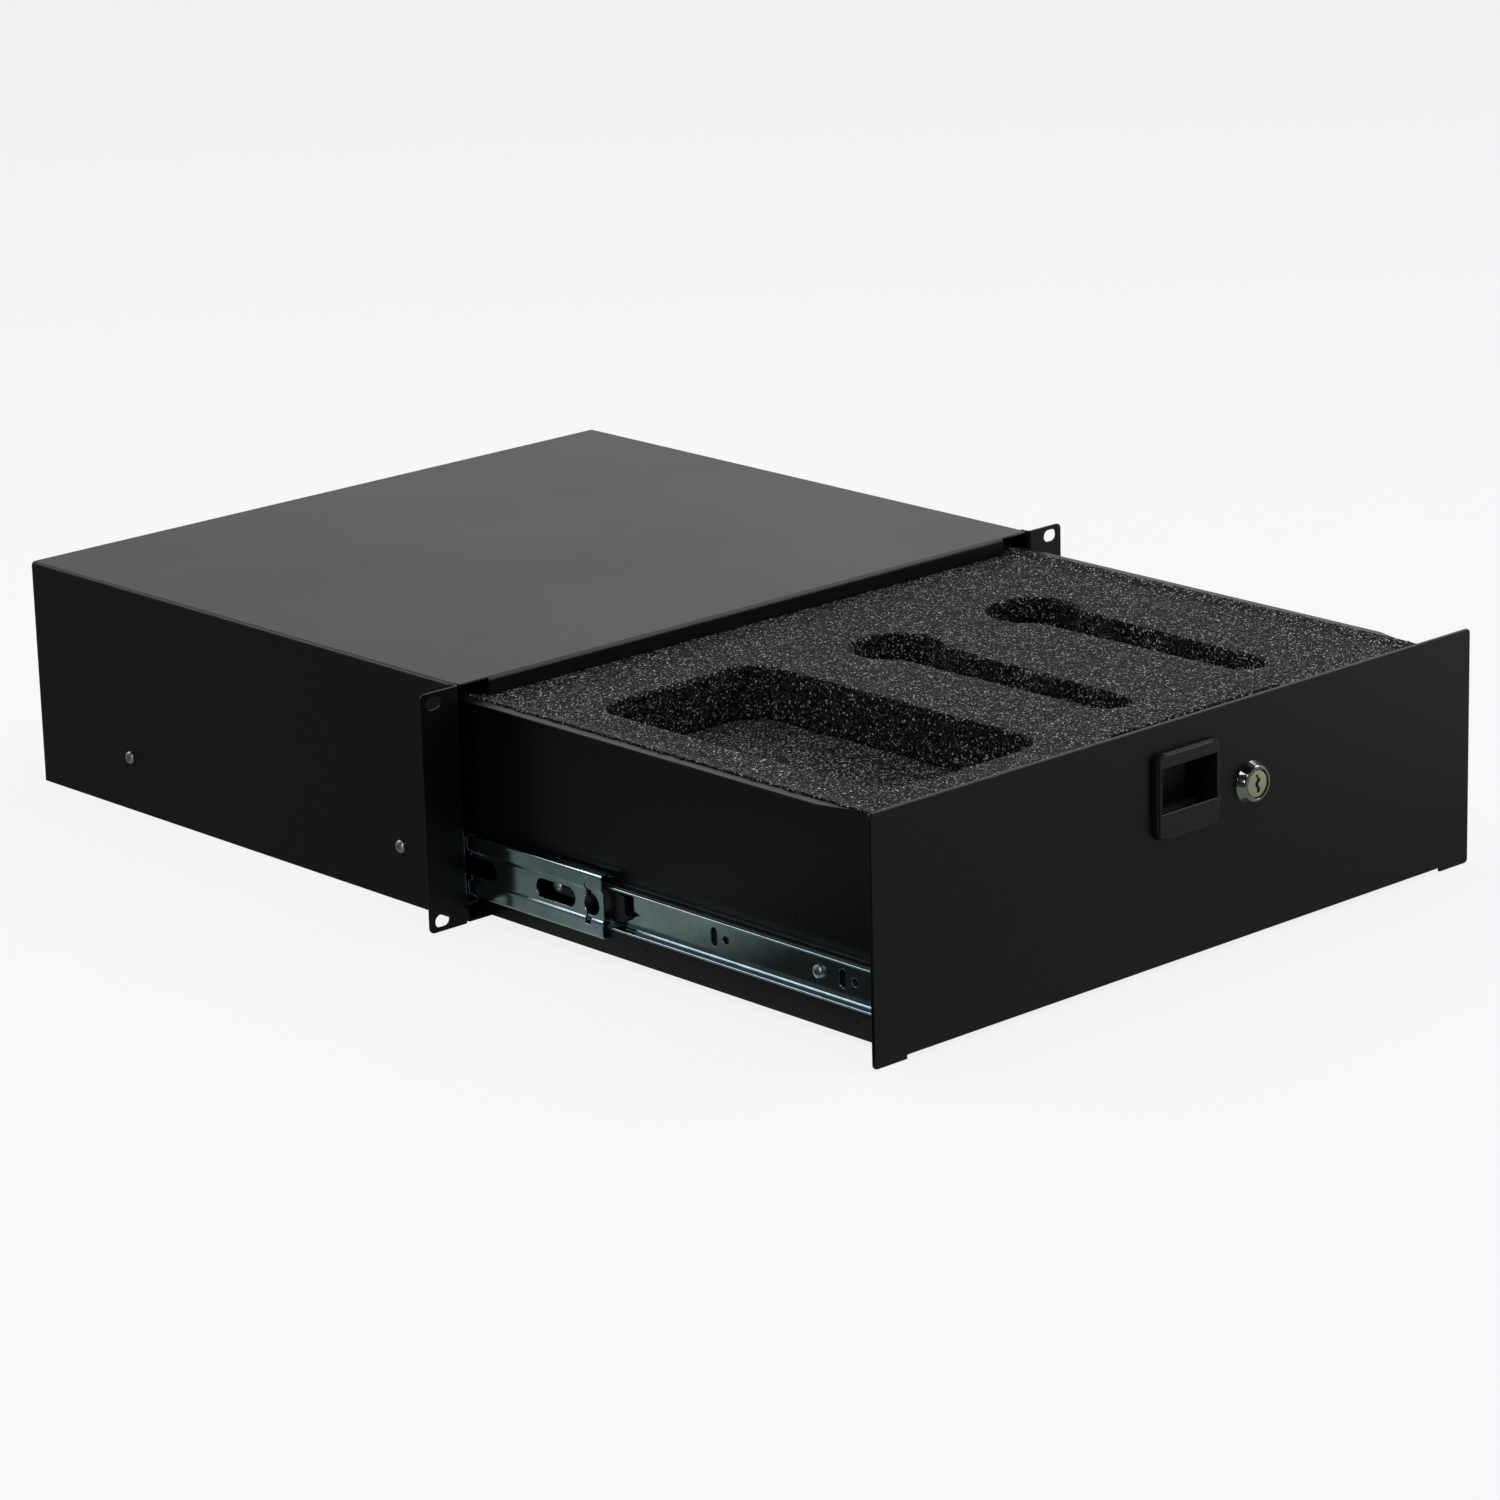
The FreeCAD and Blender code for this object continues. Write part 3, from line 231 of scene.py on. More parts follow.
for name, (place, target, size, power, tint, in_gloss) in lamps.items():
    lamp_data = bpy.data.lights.new(name, "AREA")
    lamp_data.shape = "RECTANGLE"
    lamp_data.size, lamp_data.size_y = size
    lamp_data.energy = power
    lamp_data.color = linear(tint)[:3]
    lamp = bpy.data.objects.new(name, lamp_data)
    lamp.location = place
    lamp.rotation_euler = (Vector(target) - Vector(place)).to_track_quat("-Z", "Y").to_euler()
    lamp.visible_glossy = in_gloss
    scene.collection.objects.link(lamp)

scene.view_settings.view_transform = "Standard"


# ---------------------------------------------------------------- case
# The cover is one sheet of 1.5 mm steel, cut, folded and powder-coated satin black; the base and
# back are a second sheet inside it. The coat rounds every cut edge and hides the steel's grain.

def powder_coat(name, peel_size=1.6, speck_size=0.35, cloud_size=90.0):
    """Baked polyester powder on steel: dark, a little uneven in gloss, with a shallow orange peel."""
    material, tree = new_material(name)
    place = add_node(tree, "TexCoord")
    peel = add_node(tree, "TexNoise", {"Scale": 1 / (peel_size * mm), "Detail": 2.0, "Roughness": 0.5},
                    {"Vector": place.outputs["Object"]})
    speck = add_node(tree, "TexNoise", {"Scale": 1 / (speck_size * mm), "Detail": 1.0},
                     {"Vector": place.outputs["Object"]})
    cloud = add_node(tree, "TexNoise", {"Scale": 1 / (cloud_size * mm), "Detail": 3.0},
                     {"Vector": place.outputs["Object"]})
    gloss = add_node(tree, "MapRange", {"To Min": 0.3, "To Max": 0.36}, {"Value": cloud.outputs["Fac"]})
    colour = add_node(tree, "ValToRGB", links={"Fac": speck.outputs["Fac"]})
    colour.color_ramp.elements[0].position = 0.3
    colour.color_ramp.elements[0].color = linear("#0a0d09")
    colour.color_ramp.elements[1].position = 0.72
    colour.color_ramp.elements[1].color = linear("#131611")
    rough = add_node(tree, "Bump", {"Strength": 0.2, "Distance": 0.015 * mm},
                     {"Height": peel.outputs["Fac"]})
    fine = add_node(tree, "Bump", {"Strength": 0.2, "Distance": 0.008 * mm},
                    {"Height": speck.outputs["Fac"], "Normal": rough.outputs[0]})
    shader = add_node(tree, "BsdfPrincipled", {"IOR": 1.5, "Specular IOR Level": 0.27},
                      {"Base Color": colour.outputs["Color"], "Roughness": gloss.outputs[0],
                       "Normal": fine.outputs[0]})
    add_node(tree, "OutputMaterial", links={"Surface": shader.outputs[0]})
    return material


def finish_node(name, material):
    """Gives a CAD piece its real finish."""
    nodes[name].material_slots[0].material = material


sharp_angle = math.radians(40)
flat_angle = math.radians(1.0)
weld_gap = 0.001 * mm
stray_share = 0.6
edge_steps = 2


def bevelled(bm, width, segments, chosen=None):
    """Rounds the sharp edges of a bmesh, or only those that a test picks."""
    sharp = [edge for edge in bm.edges
             if len(edge.link_faces) == 2 and edge.calc_face_angle(0) > sharp_angle
             and (chosen is None or chosen(edge))]
    bmesh.ops.bevel(bm, geom=sharp, offset=width, segments=segments, profile=0.5, affect="EDGES",
                    clamp_overlap=False)


def eased(node, body, material, width, broad=None):
    """The CAD piece with its cut edges rounded over, as coating or tumbling leaves them.

    Where edges lie closer together than the rounding is wide, a corner can stray: it goes back to the
    nearest place on the piece, and none leaves the piece's box.
    """
    bm = bmesh.new()
    bm.from_mesh(nodes[node].data)
    bmesh.ops.remove_doubles(bm, verts=bm.verts, dist=weld_gap)
    bmesh.ops.dissolve_limit(bm, angle_limit=flat_angle, verts=bm.verts, edges=bm.edges)
    skin = BVHTree.FromBMesh(bm)
    low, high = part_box(node)
    if broad:
        bevelled(bm, *broad)
    bevelled(bm, width, edge_steps)
    for vert in bm.verts:
        nearest, _, _, away = skin.find_nearest(vert.co)
        if away > stray_share * width:
            vert.co = nearest
        vert.co = [min(max(vert.co[axis], low[axis]), high[axis]) for axis in range(3)]
    piece = plain_piece(node + "_eased", bm, material)
    for face in piece.data.polygons:
        face.use_smooth = True
    weigh = piece.modifiers.new("weigh", "WEIGHTED_NORMAL")
    weigh.mode = "FACE_AREA"
    weigh.weight = 100
    bpy.context.view_layer.update()
    evaluated = piece.evaluated_get(bpy.context.evaluated_depsgraph_get())
    mesh = bpy.data.meshes.new_from_object(evaluated)
    piece.modifiers.clear()
    piece.data = mesh
    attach(piece, body)
    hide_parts(node)
    return piece


satin_black = powder_coat("satin_black_powder_coat")
cover_edge = 0.35 * mm
finish_node("case_base", satin_black)
eased("case_cover", "case", satin_black, cover_edge)


# ---------------------------------------------------------------- screws
# Pan-head machine screws with a cross recess, cold-formed steel with bright zinc plate. Four go
# through the case sides into the slides, and four hold the slides to the drawer.

def turned(profile, steps=48, ring=False):
    """A shape turned about Z from (radius, height) points; a ring is closed on itself."""
    bm = bmesh.new()
    rows = []
    for radius, height in profile:
        if radius == 0:
            rows.append([bm.verts.new((0, 0, height))])
        else:
            angles = [2 * math.pi * step / steps for step in range(steps)]
            rows.append([bm.verts.new((radius * math.cos(a), radius * math.sin(a), height))
                         for a in angles])
    pairs = list(zip(rows, rows[1:]))
    if ring:
        pairs.append((rows[-1], rows[0]))
    for upper, lower in pairs:
        for step in range(steps):
            after = (step + 1) % steps
            if len(upper) == 1:
                corners = (upper[0], lower[step], lower[after])
            elif len(lower) == 1:
                corners = (upper[step], lower[0], upper[after])
            else:
                corners = (upper[step], lower[step], lower[after], upper[after])
            bm.faces.new(corners)
    return bm


def smooth_by_angle(piece, degrees=35):
    """Smooth shading that breaks at edges sharper than the angle."""
    mesh = piece.data
    for face in mesh.polygons:
        face.use_smooth = True
    bm = bmesh.new()
    bm.from_mesh(mesh)
    for edge in bm.edges:
        edge.smooth = len(edge.link_faces) == 2 and edge.calc_face_angle(0) < math.radians(degrees)
    bm.to_mesh(mesh)
    bm.free()


def carved(piece, tool):
    """Cuts the tool out of the piece and throws the tool away."""
    cut = piece.modifiers.new("cut", "BOOLEAN")
    cut.operation = "DIFFERENCE"
    cut.solver = "EXACT"
    cut.object = tool
    bpy.context.view_layer.update()
    evaluated = piece.evaluated_get(bpy.context.evaluated_depsgraph_get())
    mesh = bpy.data.meshes.new_from_object(evaluated)
    piece.modifiers.clear()
    piece.data = mesh
    bpy.data.objects.remove(tool)


def rolled_steel(name, low, high, rough_low, rough_high, streak=None, grain_size=1.2, cloud_size=14.0):
    """Rolled steel under zinc plate or blueing: a cool metal, faintly clouded by its finish."""
    material, tree = new_material(name)
    place = add_node(tree, "TexCoord")
    vector = place.outputs["Object"]
    if streak:
        stretch = add_node(tree, "Mapping", {"Scale": streak}, {"Vector": vector})
        vector = stretch.outputs[0]
    grain = add_node(tree, "TexNoise", {"Scale": 1 / (grain_size * mm), "Detail": 4.0, "Roughness": 0.6},
                     {"Vector": vector})
    cloud = add_node(tree, "TexNoise", {"Scale": 1 / (cloud_size * mm), "Detail": 3.0},
                     {"Vector": place.outputs["Object"]})
    colour = add_node(tree, "ValToRGB", links={"Fac": cloud.outputs["Fac"]})
    colour.color_ramp.elements[0].position = 0.3
    colour.color_ramp.elements[0].color = linear(low)
    colour.color_ramp.elements[1].position = 0.7
    colour.color_ramp.elements[1].color = linear(high)
    gloss = add_node(tree, "MapRange", {"To Min": rough_low, "To Max": rough_high},
                     {"Value": grain.outputs["Fac"]})
    bump = add_node(tree, "Bump", {"Strength": 0.12, "Distance": 0.02 * mm},
                    {"Height": grain.outputs["Fac"]})
    shader = add_node(tree, "BsdfPrincipled", {"Metallic": 1.0},
                      {"Base Color": colour.outputs["Color"], "Roughness": gloss.outputs[0],
                       "Normal": bump.outputs[0]})
    add_node(tree, "OutputMaterial", links={"Surface": shader.outputs[0]})
    return material


screw_zinc = rolled_steel("zinc_plated_screw_steel", "#b4b8bb", "#dcdfe0", 0.28, 0.42)
head_radius = 3.7 * mm
head_height = 2.4 * mm
shank_radius = 2.0 * mm
recess_arm = 2.3 * mm
recess_half = 0.55 * mm
recess_taper = 0.55
recess_depth = 1.5 * mm
first_spin = math.radians(23)
spin_between = math.radians(37)
case_screw_shank = 3.0 * mm
tray_screw_shank = 2.4 * mm


def screw_head(name):
    """A domed head, its seat at height 0, with a tapered cross pressed into its top."""
    rim = 1.25 * mm
    profile = [(0, head_height), (0.9 * mm, head_height - 0.02 * mm),
               (1.9 * mm, head_height - 0.14 * mm), (2.7 * mm, head_height - 0.4 * mm),
               (3.3 * mm, head_height - 0.75 * mm), (head_radius - 0.08 * mm, rim),
               (head_radius, rim - 0.25 * mm), (head_radius, 0.12 * mm),
               (head_radius - 0.12 * mm, 0), (0, 0)]
    head = plain_piece(name, turned(profile), screw_zinc)
    for arm, half in ((recess_arm, recess_half), (recess_half, recess_arm)):
        bm = bmesh.new()
        for vert in bmesh.ops.create_cube(bm, size=1.0)["verts"]:
            deep = vert.co.z < 0
            share = recess_taper if deep else 1.0
            vert.co.x = math.copysign(max(arm * share, recess_half * share), vert.co.x)
            vert.co.y = math.copysign(max(half * share, recess_half * share), vert.co.y)
            vert.co.z = head_height - recess_depth if deep else head_height + 1 * mm
        carved(head, plain_piece(name + "_recess", bm, screw_zinc))
    return head


def screw_places(node):
    """The centre of each solid's head in a node of screws, with the side that it stands on."""
    low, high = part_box(node)
    xs = (low.x, high.x)
    ys = sorted({round((low.y + head_radius) * 1e5) / 1e5, round((high.y - head_radius) * 1e5) / 1e5})
    z = (low.z + high.z) / 2
    return [Vector((x, y, z)) for x in xs for y in ys]


def dress_screws(node, body, shank_length):
    """Screws in the places of a node's solids, each turned a little further than the last."""
    made = []
    for number, top_of_head in enumerate(screw_places(node), 1):
        head = screw_head(f"{node}_{number}")
        side = math.copysign(1, top_of_head.x)
        shank = turned([(0, 0), (shank_radius, 0), (shank_radius, -shank_length), (0, -shank_length)],
                       steps=24)
        shank_piece = plain_piece("shank", shank, screw_zinc)
        bm = bmesh.new()
        bm.from_mesh(head.data)
        bm.from_mesh(shank_piece.data)
        bm.to_mesh(head.data)
        bm.free()
        bpy.data.objects.remove(shank_piece)
        seat = top_of_head - Vector((side * head_height, 0, 0))
        outward = Matrix.Rotation(side * math.pi / 2, 4, "Y")
        spin = Matrix.Rotation(first_spin + spin_between * number, 4, "Z")
        head.data.transform(Matrix.Translation(seat) @ outward @ spin)
        smooth_by_angle(head)
        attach(head, body)
        made.append(head)
    for head in made:
        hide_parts(node)


dress_screws("case_slide_screws", "case", case_screw_shank)
dress_screws("tray_slide_screws", "drawer", tray_screw_shank)


# ---------------------------------------------------------------- ball slides
# Three members a side, roll-formed from cold-rolled strip and zinc plated after punching. Rolling
# leaves faint lines along each member, so the plate mirrors in long soft streaks.

rolled_along = (1.0, 0.04, 1.0)
slide_zinc = rolled_steel("zinc_plated_slide_steel", "#98abb3", "#b1c4cb", 0.08, 0.17, rolled_along)
cage_zinc = rolled_steel("zinc_plated_cage_strip", "#8b8f90", "#a9adae", 0.25, 0.4)
slide_edge = 0.42 * mm
for side in ("left", "right"):
    finish_node(f"{side}_cabinet_member", slide_zinc)
    eased(f"{side}_intermediate_member", f"{side}_intermediate", slide_zinc,
          slide_edge)
    eased(f"{side}_drawer_member", "drawer", slide_zinc, slide_edge)
    for part in ("outer_cage", "inner_cage"):
        finish_node(f"{side}_{part}", cage_zinc)
finish_node("lever_rivets", screw_zinc)

# Lapped bearing balls, under a thin uneven film of grease.
film_size = 1.5
ball_steel, tree = new_material("polished_bearing_steel")
place = add_node(tree, "TexCoord")
film = add_node(tree, "TexNoise", {"Scale": 1 / (film_size * mm), "Detail": 2.0},
                {"Vector": place.outputs["Object"]})
gloss = add_node(tree, "MapRange", {"To Min": 0.04, "To Max": 0.16}, {"Value": film.outputs["Fac"]})
shader = add_node(tree, "BsdfPrincipled", {"Metallic": 1.0, "Base Color": linear("#c9cbcc")},
                  {"Roughness": gloss.outputs[0]})
add_node(tree, "OutputMaterial", links={"Surface": shader.outputs[0]})


def loose_groups(mesh):
    """The corners of each loose part of a mesh."""
    bm = bmesh.new()
    bm.from_mesh(mesh)
    bmesh.ops.remove_doubles(bm, verts=bm.verts, dist=weld_gap)
    seen = set()
    groups = []
    for first in bm.verts:
        if first in seen:
            continue
        seen.add(first)
        waiting = [first]
        group = []
        while waiting:
            vert = waiting.pop()
            group.append(vert.co.copy())
            for edge in vert.link_edges:
                other = edge.other_vert(vert)
                if other not in seen:
                    seen.add(other)
                    waiting.append(other)
        groups.append(group)
    bm.free()
    return groups


def round_balls(node, body):
    """True round balls where the CAD piece has balls with flats."""
    bm = bmesh.new()
    for group in loose_groups(nodes[node].data):
        low = Vector([min(corner[axis] for corner in group) for axis in range(3)])
        high = Vector([max(corner[axis] for corner in group) for axis in range(3)])
        centre = (low + high) / 2
        radius = max((corner - centre).length for corner in group)
        bmesh.ops.create_icosphere(bm, subdivisions=3, radius=radius,
                                   matrix=Matrix.Translation(centre))
    piece = plain_piece(node + "_round", bm, ball_steel)
    for face in piece.data.polygons:
        face.use_smooth = True
    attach(piece, body)
    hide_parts(node)


for side in ("left", "right"):
    for part, body in (("outer_balls", "outer_retainer"), ("inner_balls", "inner_retainer")):
        round_balls(f"{side}_{part}", f"{side}_{body}")


# ---------------------------------------------------------------- release levers
# Injection-moulded black acetal, one in each drawer member, free to rock on a rivet.

def moulded_plastic(name, dark, light, rough_low, rough_high, grain_size):
    """Moulded plastic with the fine grain of a spark-eroded mould."""
    material, tree = new_material(name)
    place = add_node(tree, "TexCoord")
    grain = add_node(tree, "TexNoise", {"Scale": 1 / (grain_size * mm), "Detail": 3.0},
                     {"Vector": place.outputs["Object"]})
    colour = add_node(tree, "ValToRGB", links={"Fac": grain.outputs["Fac"]})
    colour.color_ramp.elements[0].color = linear(dark)
    colour.color_ramp.elements[1].color = linear(light)
    gloss = add_node(tree, "MapRange", {"To Min": rough_low, "To Max": rough_high},
                     {"Value": grain.outputs["Fac"]})
    bump = add_node(tree, "Bump", {"Strength": 0.2, "Distance": 0.02 * mm},
                    {"Height": grain.outputs["Fac"]})
    shader = add_node(tree, "BsdfPrincipled", {"IOR": 1.48, "Specular IOR Level": 0.4},
                      {"Base Color": colour.outputs["Color"], "Roughness": gloss.outputs[0],
                       "Normal": bump.outputs[0]})
    add_node(tree, "OutputMaterial", links={"Surface": shader.outputs[0]})
    return material


acetal = moulded_plastic("moulded_black_acetal", "#060606", "#0e0e0e", 0.24, 0.34, 0.5)
for side in ("left", "right"):
    finish_node(f"{side}_release_lever", acetal)


# ---------------------------------------------------------------- drawer tray
# Walls, floor and back folded from 1.2 mm steel, spot-welded and powder-coated with the rest.

tray_edge = 0.3 * mm
for name in ("tray_floor", "tray_back"):
    finish_node(name, satin_black)
for name in ("left_tray_side", "right_tray_side", "front_panel"):
    eased(name, "drawer", satin_black, tray_edge)


# ---------------------------------------------------------------- foam insert
# Two layers of open-cell polyurethane, the upper one cut through for a portable drive and two
# microphones. The knife opens the cells; the glitter of the broken strut ends is painted into the colour
# as pale painted highlights, with painted shade in the dark cells. Its cells are drawn a little coarser
# than real ones, so that they show.

cell_size = 1.7
small_cell_share = 0.62
wander_share = 1.6
shift_share = 0.8
few_painted_glints = 2.3


def open_cell_foam(name):
    """Charcoal polyether with painted glints: a few cells carry a pale painted highlight, the rest lie
    dark, their charcoal deepened by painted shade.
    """
    material, tree = new_material(name)
    place = add_node(tree, "TexCoord")
    wander = add_node(tree, "TexNoise", {"Scale": 1 / (wander_share * cell_size * mm), "Detail": 2.0},
                      {"Vector": place.outputs["Object"]})
    shift = add_node(tree, "VectorMath", {"operation": "SCALE", "Scale": shift_share * cell_size * mm},
                     {0: wander.outputs["Color"]})
    bent = add_node(tree, "VectorMath", {"operation": "ADD"},
                    {0: place.outputs["Object"], 1: shift.outputs[0]})
    layers = []
    for size, reach in ((cell_size, 0.5), (small_cell_share * cell_size, 0.6)):
        cells = add_node(tree, "TexVoronoi", {"feature": "F1", "Scale": 1 / (size * mm)},
                         {"Vector": bent.outputs[0]})
        chance = add_node(tree, "SeparateColor", links={0: cells.outputs["Color"]})
        # Painted highlight: a few cells, picked at random, get a pale dot of painted glint.
        glint_strength = add_node(tree, "Math", {"operation": "POWER", 1: few_painted_glints},
                          {0: chance.outputs[0]})
        glint_falloff = {"From Min": 0.1, "From Max": reach, "To Min": 1.0, "To Max": 0.0}
        glint_spot = add_node(tree, "MapRange", glint_falloff, {"Value": cells.outputs["Distance"]})
        layers.append(add_node(tree, "Math", {"operation": "MULTIPLY"},
                               {0: glint_strength.outputs[0], 1: glint_spot.outputs[0]}))
    painted_glints = add_node(tree, "Math", {"operation": "MAXIMUM"},
                   {0: layers[0].outputs[0], 1: layers[1].outputs[0]})
    # The ramp paints the glints pale and the cells between them dark, partly the foam's charcoal and
    # partly painted shade.
    colour = add_node(tree, "ValToRGB", links={"Fac": painted_glints.outputs[0]})
    ramp = colour.color_ramp
    ramp.elements[0].position = 0.0
    ramp.elements[0].color = linear("#0b0b0a")
    ramp.elements[1].position = 0.75
    ramp.elements[1].color = linear("#dadad6")
    middle = ramp.elements.new(0.3)
    middle.color = linear("#474745")
    bump = add_node(tree, "Bump", {"Strength": 1.0, "Distance": 0.5 * mm}, {"Height": painted_glints.outputs[0]})
    shader = add_node(tree, "BsdfPrincipled", {"Roughness": 0.6, "Specular IOR Level": 0.06},
                      {"Base Color": colour.outputs["Color"], "Normal": bump.outputs[0]})
    add_node(tree, "OutputMaterial", links={"Surface": shader.outputs[0]})
    return material


foam_material = open_cell_foam("charcoal_open_cell_foam")
foam_voxel = 1.4 * mm
foam_ragged = 1.1 * mm
foam_ragged_size = 2.4 * mm
spill_reach = 6.0 * mm
spill_over = 4.6 * mm
spill_wander = 1.1 * mm
spill_wave = 9.0 * mm
spill_lift = 2.1 * mm
spill_skin = 0.9 * mm


def smoothstep(value):
    """A share from 0 to 1 that leaves and arrives softly."""
    value = max(0.0, min(1.0, value))
    return value * value * (3 - 2 * value)


def foam_block(name, node, voxel):
    """The cut block, remeshed evenly and roughened where the knife tore its cells open."""
    mesh = nodes[node].data.copy()
    block = bpy.data.objects.new(name, mesh)
    scene.collection.objects.link(block)
    remesh = block.modifiers.new("even", "REMESH")
    remesh.mode = "VOXEL"
    remesh.voxel_size = voxel
    torn = bpy.data.textures.new(name + "_torn", "CLOUDS")
    torn.noise_scale = foam_ragged_size
    torn.noise_depth = 2
    rough = block.modifiers.new("torn", "DISPLACE")
    rough.texture = torn
    rough.texture_coords = "GLOBAL"
    rough.strength = foam_ragged
    rough.mid_level = 0.5
    bpy.context.view_layer.update()
    evaluated = block.evaluated_get(bpy.context.evaluated_depsgraph_get())
    block.data = bpy.data.meshes.new_from_object(evaluated)
    block.modifiers.clear()
    block.data.materials.clear()
    block.data.materials.append(foam_material)
    for face in block.data.polygons:
        face.use_smooth = True
    return block


def spill_over_rims(block, node):
    """The insert is cut a little wide, so its top edge bulges out over both rims of the drawer."""
    low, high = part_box(node)
    for vert in block.data.vertices:
        edge = vert.co.x - low.x if vert.co.x < 0 else high.x - vert.co.x
        near = smoothstep(1 - edge / spill_reach)
        skin = smoothstep((vert.co.z - (high.z - spill_skin - foam_ragged)) / spill_skin)
        ends = min(vert.co.y - low.y, high.y - vert.co.y) / spill_reach
        share = near * skin * smoothstep(ends)
        wander = noise.noise(Vector((0, vert.co.y, 0)) / spill_wave) * spill_wander
        vert.co.x += math.copysign(share * (spill_over + wander), vert.co.x)
        vert.co.z += share * spill_lift


upper_foam = foam_block("foam_insert_upper", "foam_top", foam_voxel)
lower_foam = foam_block("foam_insert_lower", "foam_base", 2 * foam_voxel)
spill_over_rims(upper_foam, "foam_top")
for block, node in ((upper_foam, "foam_top"), (lower_foam, "foam_base")):
    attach(block, "drawer")
    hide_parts(node)


# ---------------------------------------------------------------- latch
# A moulded nylon bezel with a finger cup, a sliding bolt behind it and a leaf of blued spring steel.

nylon = moulded_plastic("moulded_black_nylon", "#0b0d0a", "#161814", 0.28, 0.38, 0.35)
latch_low, latch_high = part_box("latch_housing")
chamfer_depth = 1.6 * mm
bezel_edge = 0.55 * mm
bezel_rim = 0.75 * mm
bezel_rim_steps = 3


def on_bezel_rim(edge):
    """An edge of the chamfer that runs round the front of the bezel."""
    middle = (edge.verts[0].co + edge.verts[1].co) / 2
    inset = min(middle.x - latch_low.x, latch_high.x - middle.x, middle.z - latch_low.z,
                latch_high.z - middle.z)
    return middle.y < latch_low.y + chamfer_depth and inset < chamfer_depth


eased("latch_housing", "drawer", nylon, bezel_edge,
      (bezel_rim, bezel_rim_steps, on_bezel_rim))

# The bolt takes the wear, so its nylon is filled with glass fibre, which leaves it grey.
bolt_nylon = moulded_plastic("glass_filled_grey_nylon", "#484946", "#565753", 0.3, 0.42, 0.35)
finish_node("latch_bolt", bolt_nylon)

# The leaf stands on the floor of the housing and gets a mesh of its own; in the real latch it shortens
# by as much as the bolt comes down.
blued = rolled_steel("blued_spring_steel", "#2c3038", "#3c4048", 0.25, 0.4)
leaf_edge = 0.08 * mm
leaf = eased("latch_spring", "drawer", blued, leaf_edge)
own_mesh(leaf)


# ---------------------------------------------------------------- lock
# A turned and chromed collar, a nickel-plated plug and a zinc-plated cam behind the panel.

def bright_plate(name, colour_hex, roughness, haze_size=3.0):
    """Bright nickel or chrome over a turned surface, a touch hazed by handling."""
    material, tree = new_material(name)
    place = add_node(tree, "TexCoord")
    haze = add_node(tree, "TexNoise", {"Scale": 1 / (haze_size * mm), "Detail": 4.0},
                    {"Vector": place.outputs["Object"]})
    gloss = add_node(tree, "MapRange", {"To Min": roughness * 0.6, "To Max": roughness * 1.4},
                     {"Value": haze.outputs["Fac"]})
    shader = add_node(tree, "BsdfPrincipled", {"Metallic": 1.0, "Base Color": linear(colour_hex)},
                      {"Roughness": gloss.outputs[0]})
    add_node(tree, "OutputMaterial", links={"Surface": shader.outputs[0]})
    return material


chrome = bright_plate("bright_chrome_plate", "#8f908d", 0.08)
nickel = bright_plate("satin_nickel_plate", "#c4bda9", 0.36)
for name in ("lock_cam", "lock_cam_screw"):
    finish_node(name, screw_zinc)
finish_node("lock_nut", nickel)

low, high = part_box("lock_body")
collar_radius = (high.x - low.x) / 2
lock_centre = Vector(((low.x + high.x) / 2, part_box("front_panel")[0].y, (low.z + high.z) / 2))
collar_proud = lock_centre.y - low.y
barrel_length = high.y - lock_centre.y
barrel_radius = 8.9 * mm
barrel_half_flat = 7.8 * mm
plug_radius = 7.5 * mm
bore_radius = 7.6 * mm
plug_recess = 0.4 * mm
keyway_depth = 4.0 * mm
keyway_wide = 1.35 * mm
keyway_tall = 1.15 * mm
tool_reach = 20.0 * mm
keyway = [(-1.1, 3.7), (-1.0, 4.3), (0.2, 4.4), (0.5, 3.0), (1.5, 2.3), (1.6, 1.0), (0.6, 0.4),
          (0.5, -1.2), (1.3, -1.9), (1.4, -3.9), (0.6, -4.4), (-0.4, -4.0), (-0.3, -2.0),
          (-1.2, -1.0), (-1.3, 0.7), (-0.3, 1.5), (-0.4, 3.0)]


def on_lock_axis(piece):
    """Turns a piece made about Z, with the panel's face at height 0, to face out of the panel."""
    outward = Matrix(((1, 0, 0, 0), (0, 0, -1, 0), (0, 1, 0, 0), (0, 0, 0, 1)))
    piece.data.transform(Matrix.Translation(lock_centre) @ outward)


def prism(points, low_z, high_z, name):
    """A closed upright prism over a flat outline."""
    bm = bmesh.new()
    rings = [[bm.verts.new((x, y, z)) for x, y in points] for z in (low_z, high_z)]
    for step in range(len(points)):
        after = (step + 1) % len(points)
        bm.faces.new((rings[0][step], rings[0][after], rings[1][after], rings[1][step]))
    bm.faces.new(rings[0])
    bm.faces.new(rings[1])
    return plain_piece(name, bm, nickel)


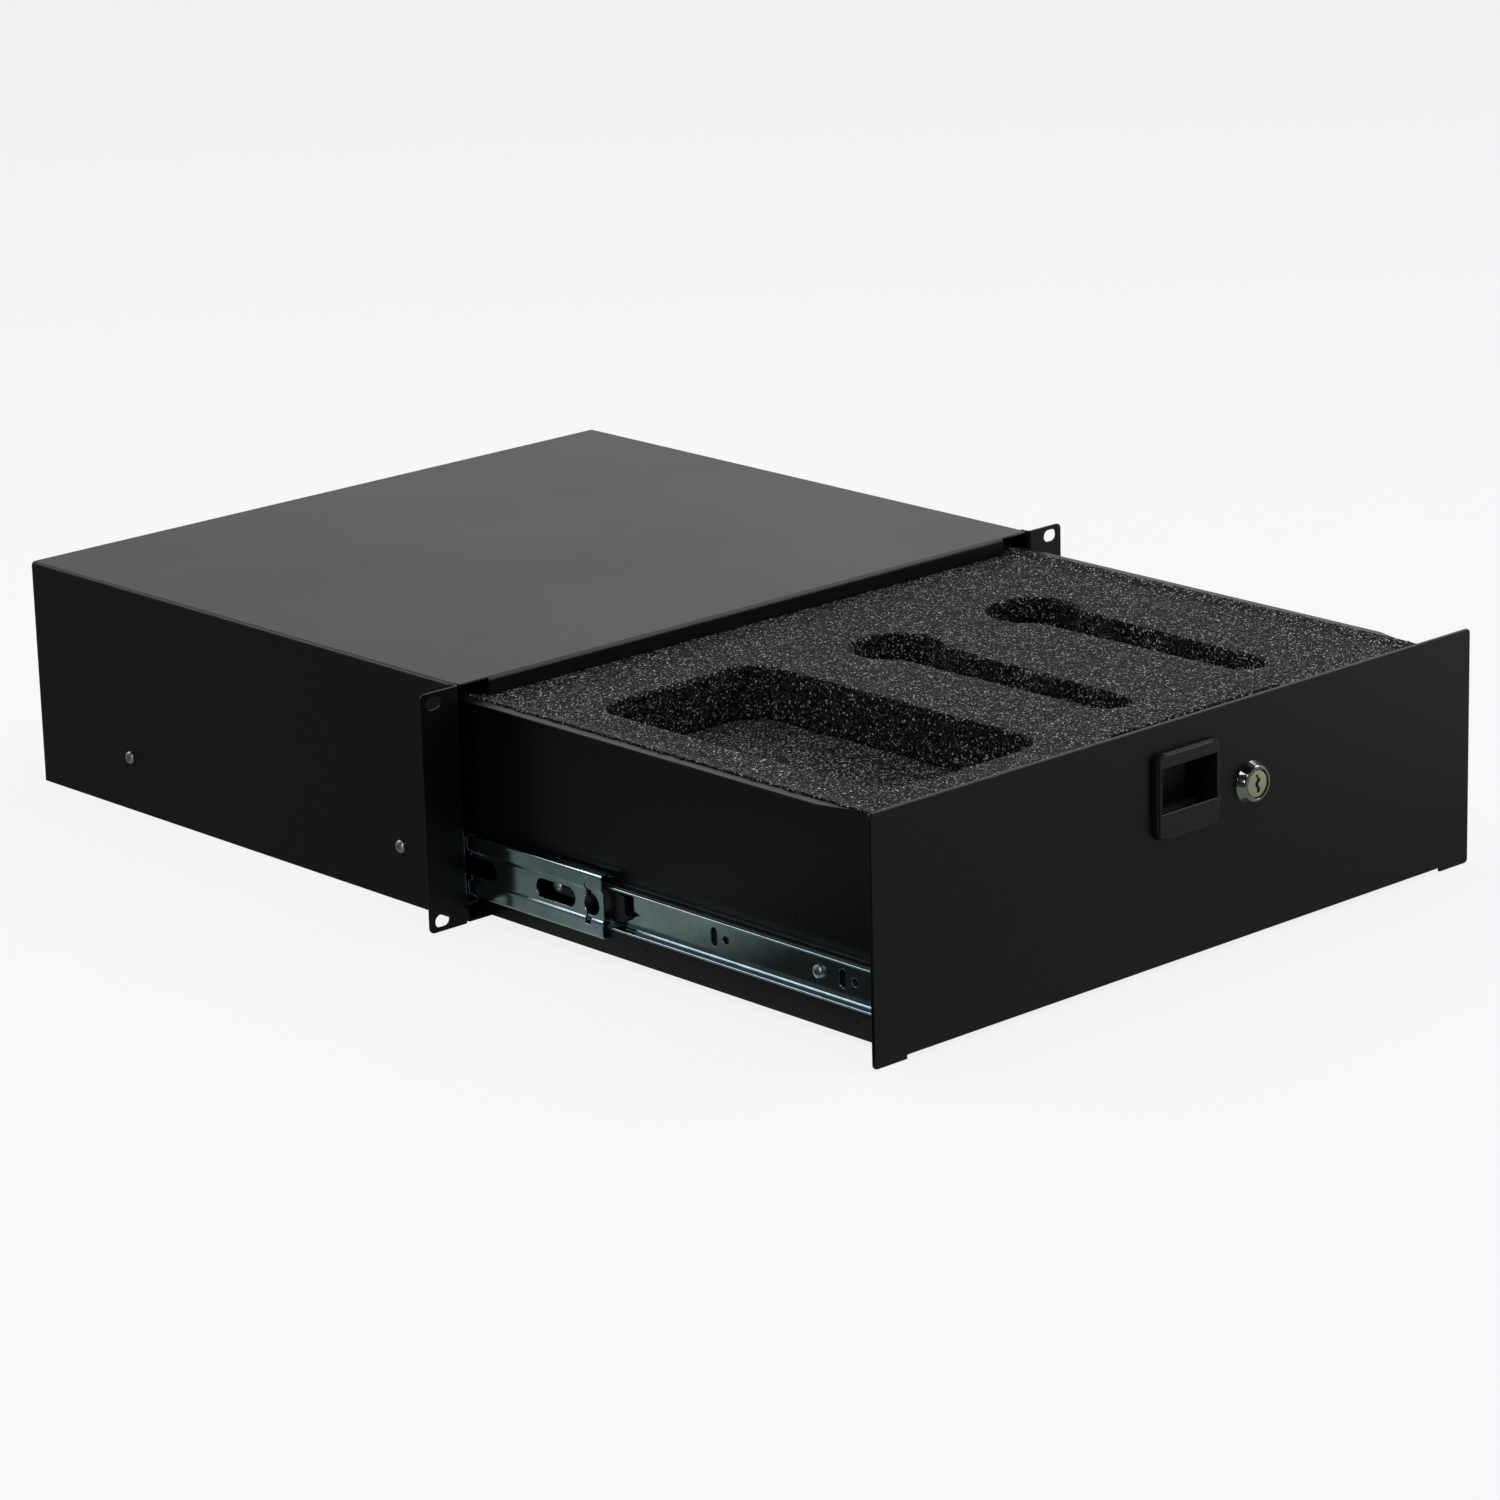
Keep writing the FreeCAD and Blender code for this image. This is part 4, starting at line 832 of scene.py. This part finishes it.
collar = plain_piece("lock_collar", turned([
    (collar_radius, 0), (collar_radius, 0.35 * mm), (collar_radius - 0.12 * mm, 0.55 * mm),
    (collar_radius - 0.3 * mm, 0.8 * mm), (collar_radius - 1.85 * mm, collar_proud - 0.75 * mm),
    (collar_radius - 2.1 * mm, collar_proud - 0.3 * mm), (collar_radius - 2.5 * mm, collar_proud),
    (bore_radius + 0.65 * mm, collar_proud), (bore_radius + 0.5 * mm, collar_proud - 0.15 * mm),
    (bore_radius + 0.45 * mm, collar_proud - 2.6 * mm), (bore_radius, collar_proud - 2.7 * mm),
    (bore_radius, -barrel_length), (barrel_radius, -barrel_length),
    (barrel_radius, 0)], 96, ring=True), chrome)
for side in (-1, 1):
    flat = [(side * barrel_half_flat, -tool_reach), (side * tool_reach, -tool_reach),
            (side * tool_reach, tool_reach), (side * barrel_half_flat, tool_reach)]
    carved(collar, prism(flat, -barrel_length - 1 * mm, 0, "flat_tool"))

plug_face = collar_proud - plug_recess
plug = plain_piece("lock_plug_turned", turned([
    (0, plug_face), (5.9 * mm, plug_face), (6.2 * mm, plug_face - 0.08 * mm),
    (plug_radius - 0.45 * mm, plug_face - 0.1 * mm), (plug_radius - 0.25 * mm, plug_face - 0.3 * mm),
    (plug_radius - 0.2 * mm, plug_face - 1.2 * mm), (plug_radius, plug_face - 1.3 * mm),
    (plug_radius, -barrel_length), (0, -barrel_length)], 96), nickel)
keyway_outline = [(keyway_wide * x, keyway_tall * y) for x, y in keyway]
carved(plug, prism(keyway_outline, plug_face - keyway_depth, plug_face + 1 * mm, "keyway_tool"))
drive_half = 3.5 * mm
drive_end = lock_centre.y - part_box("lock_plug")[1].y
drive = prism([(-drive_half, -drive_half), (drive_half, -drive_half), (drive_half, drive_half),
               (-drive_half, drive_half)], drive_end, -barrel_length, "drive_square")
bm = bmesh.new()
bm.from_mesh(plug.data)
bm.from_mesh(drive.data)
bm.to_mesh(plug.data)
bm.free()
bpy.data.objects.remove(drive)
for piece, node, body, slot in ((collar, "lock_body", "drawer", "lock_chrome"),
                                (plug, "lock_plug", "lock_plug", "lock_nickel")):
    on_lock_axis(piece)
    smooth_by_angle(piece)
    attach(piece, body)
    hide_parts(node)
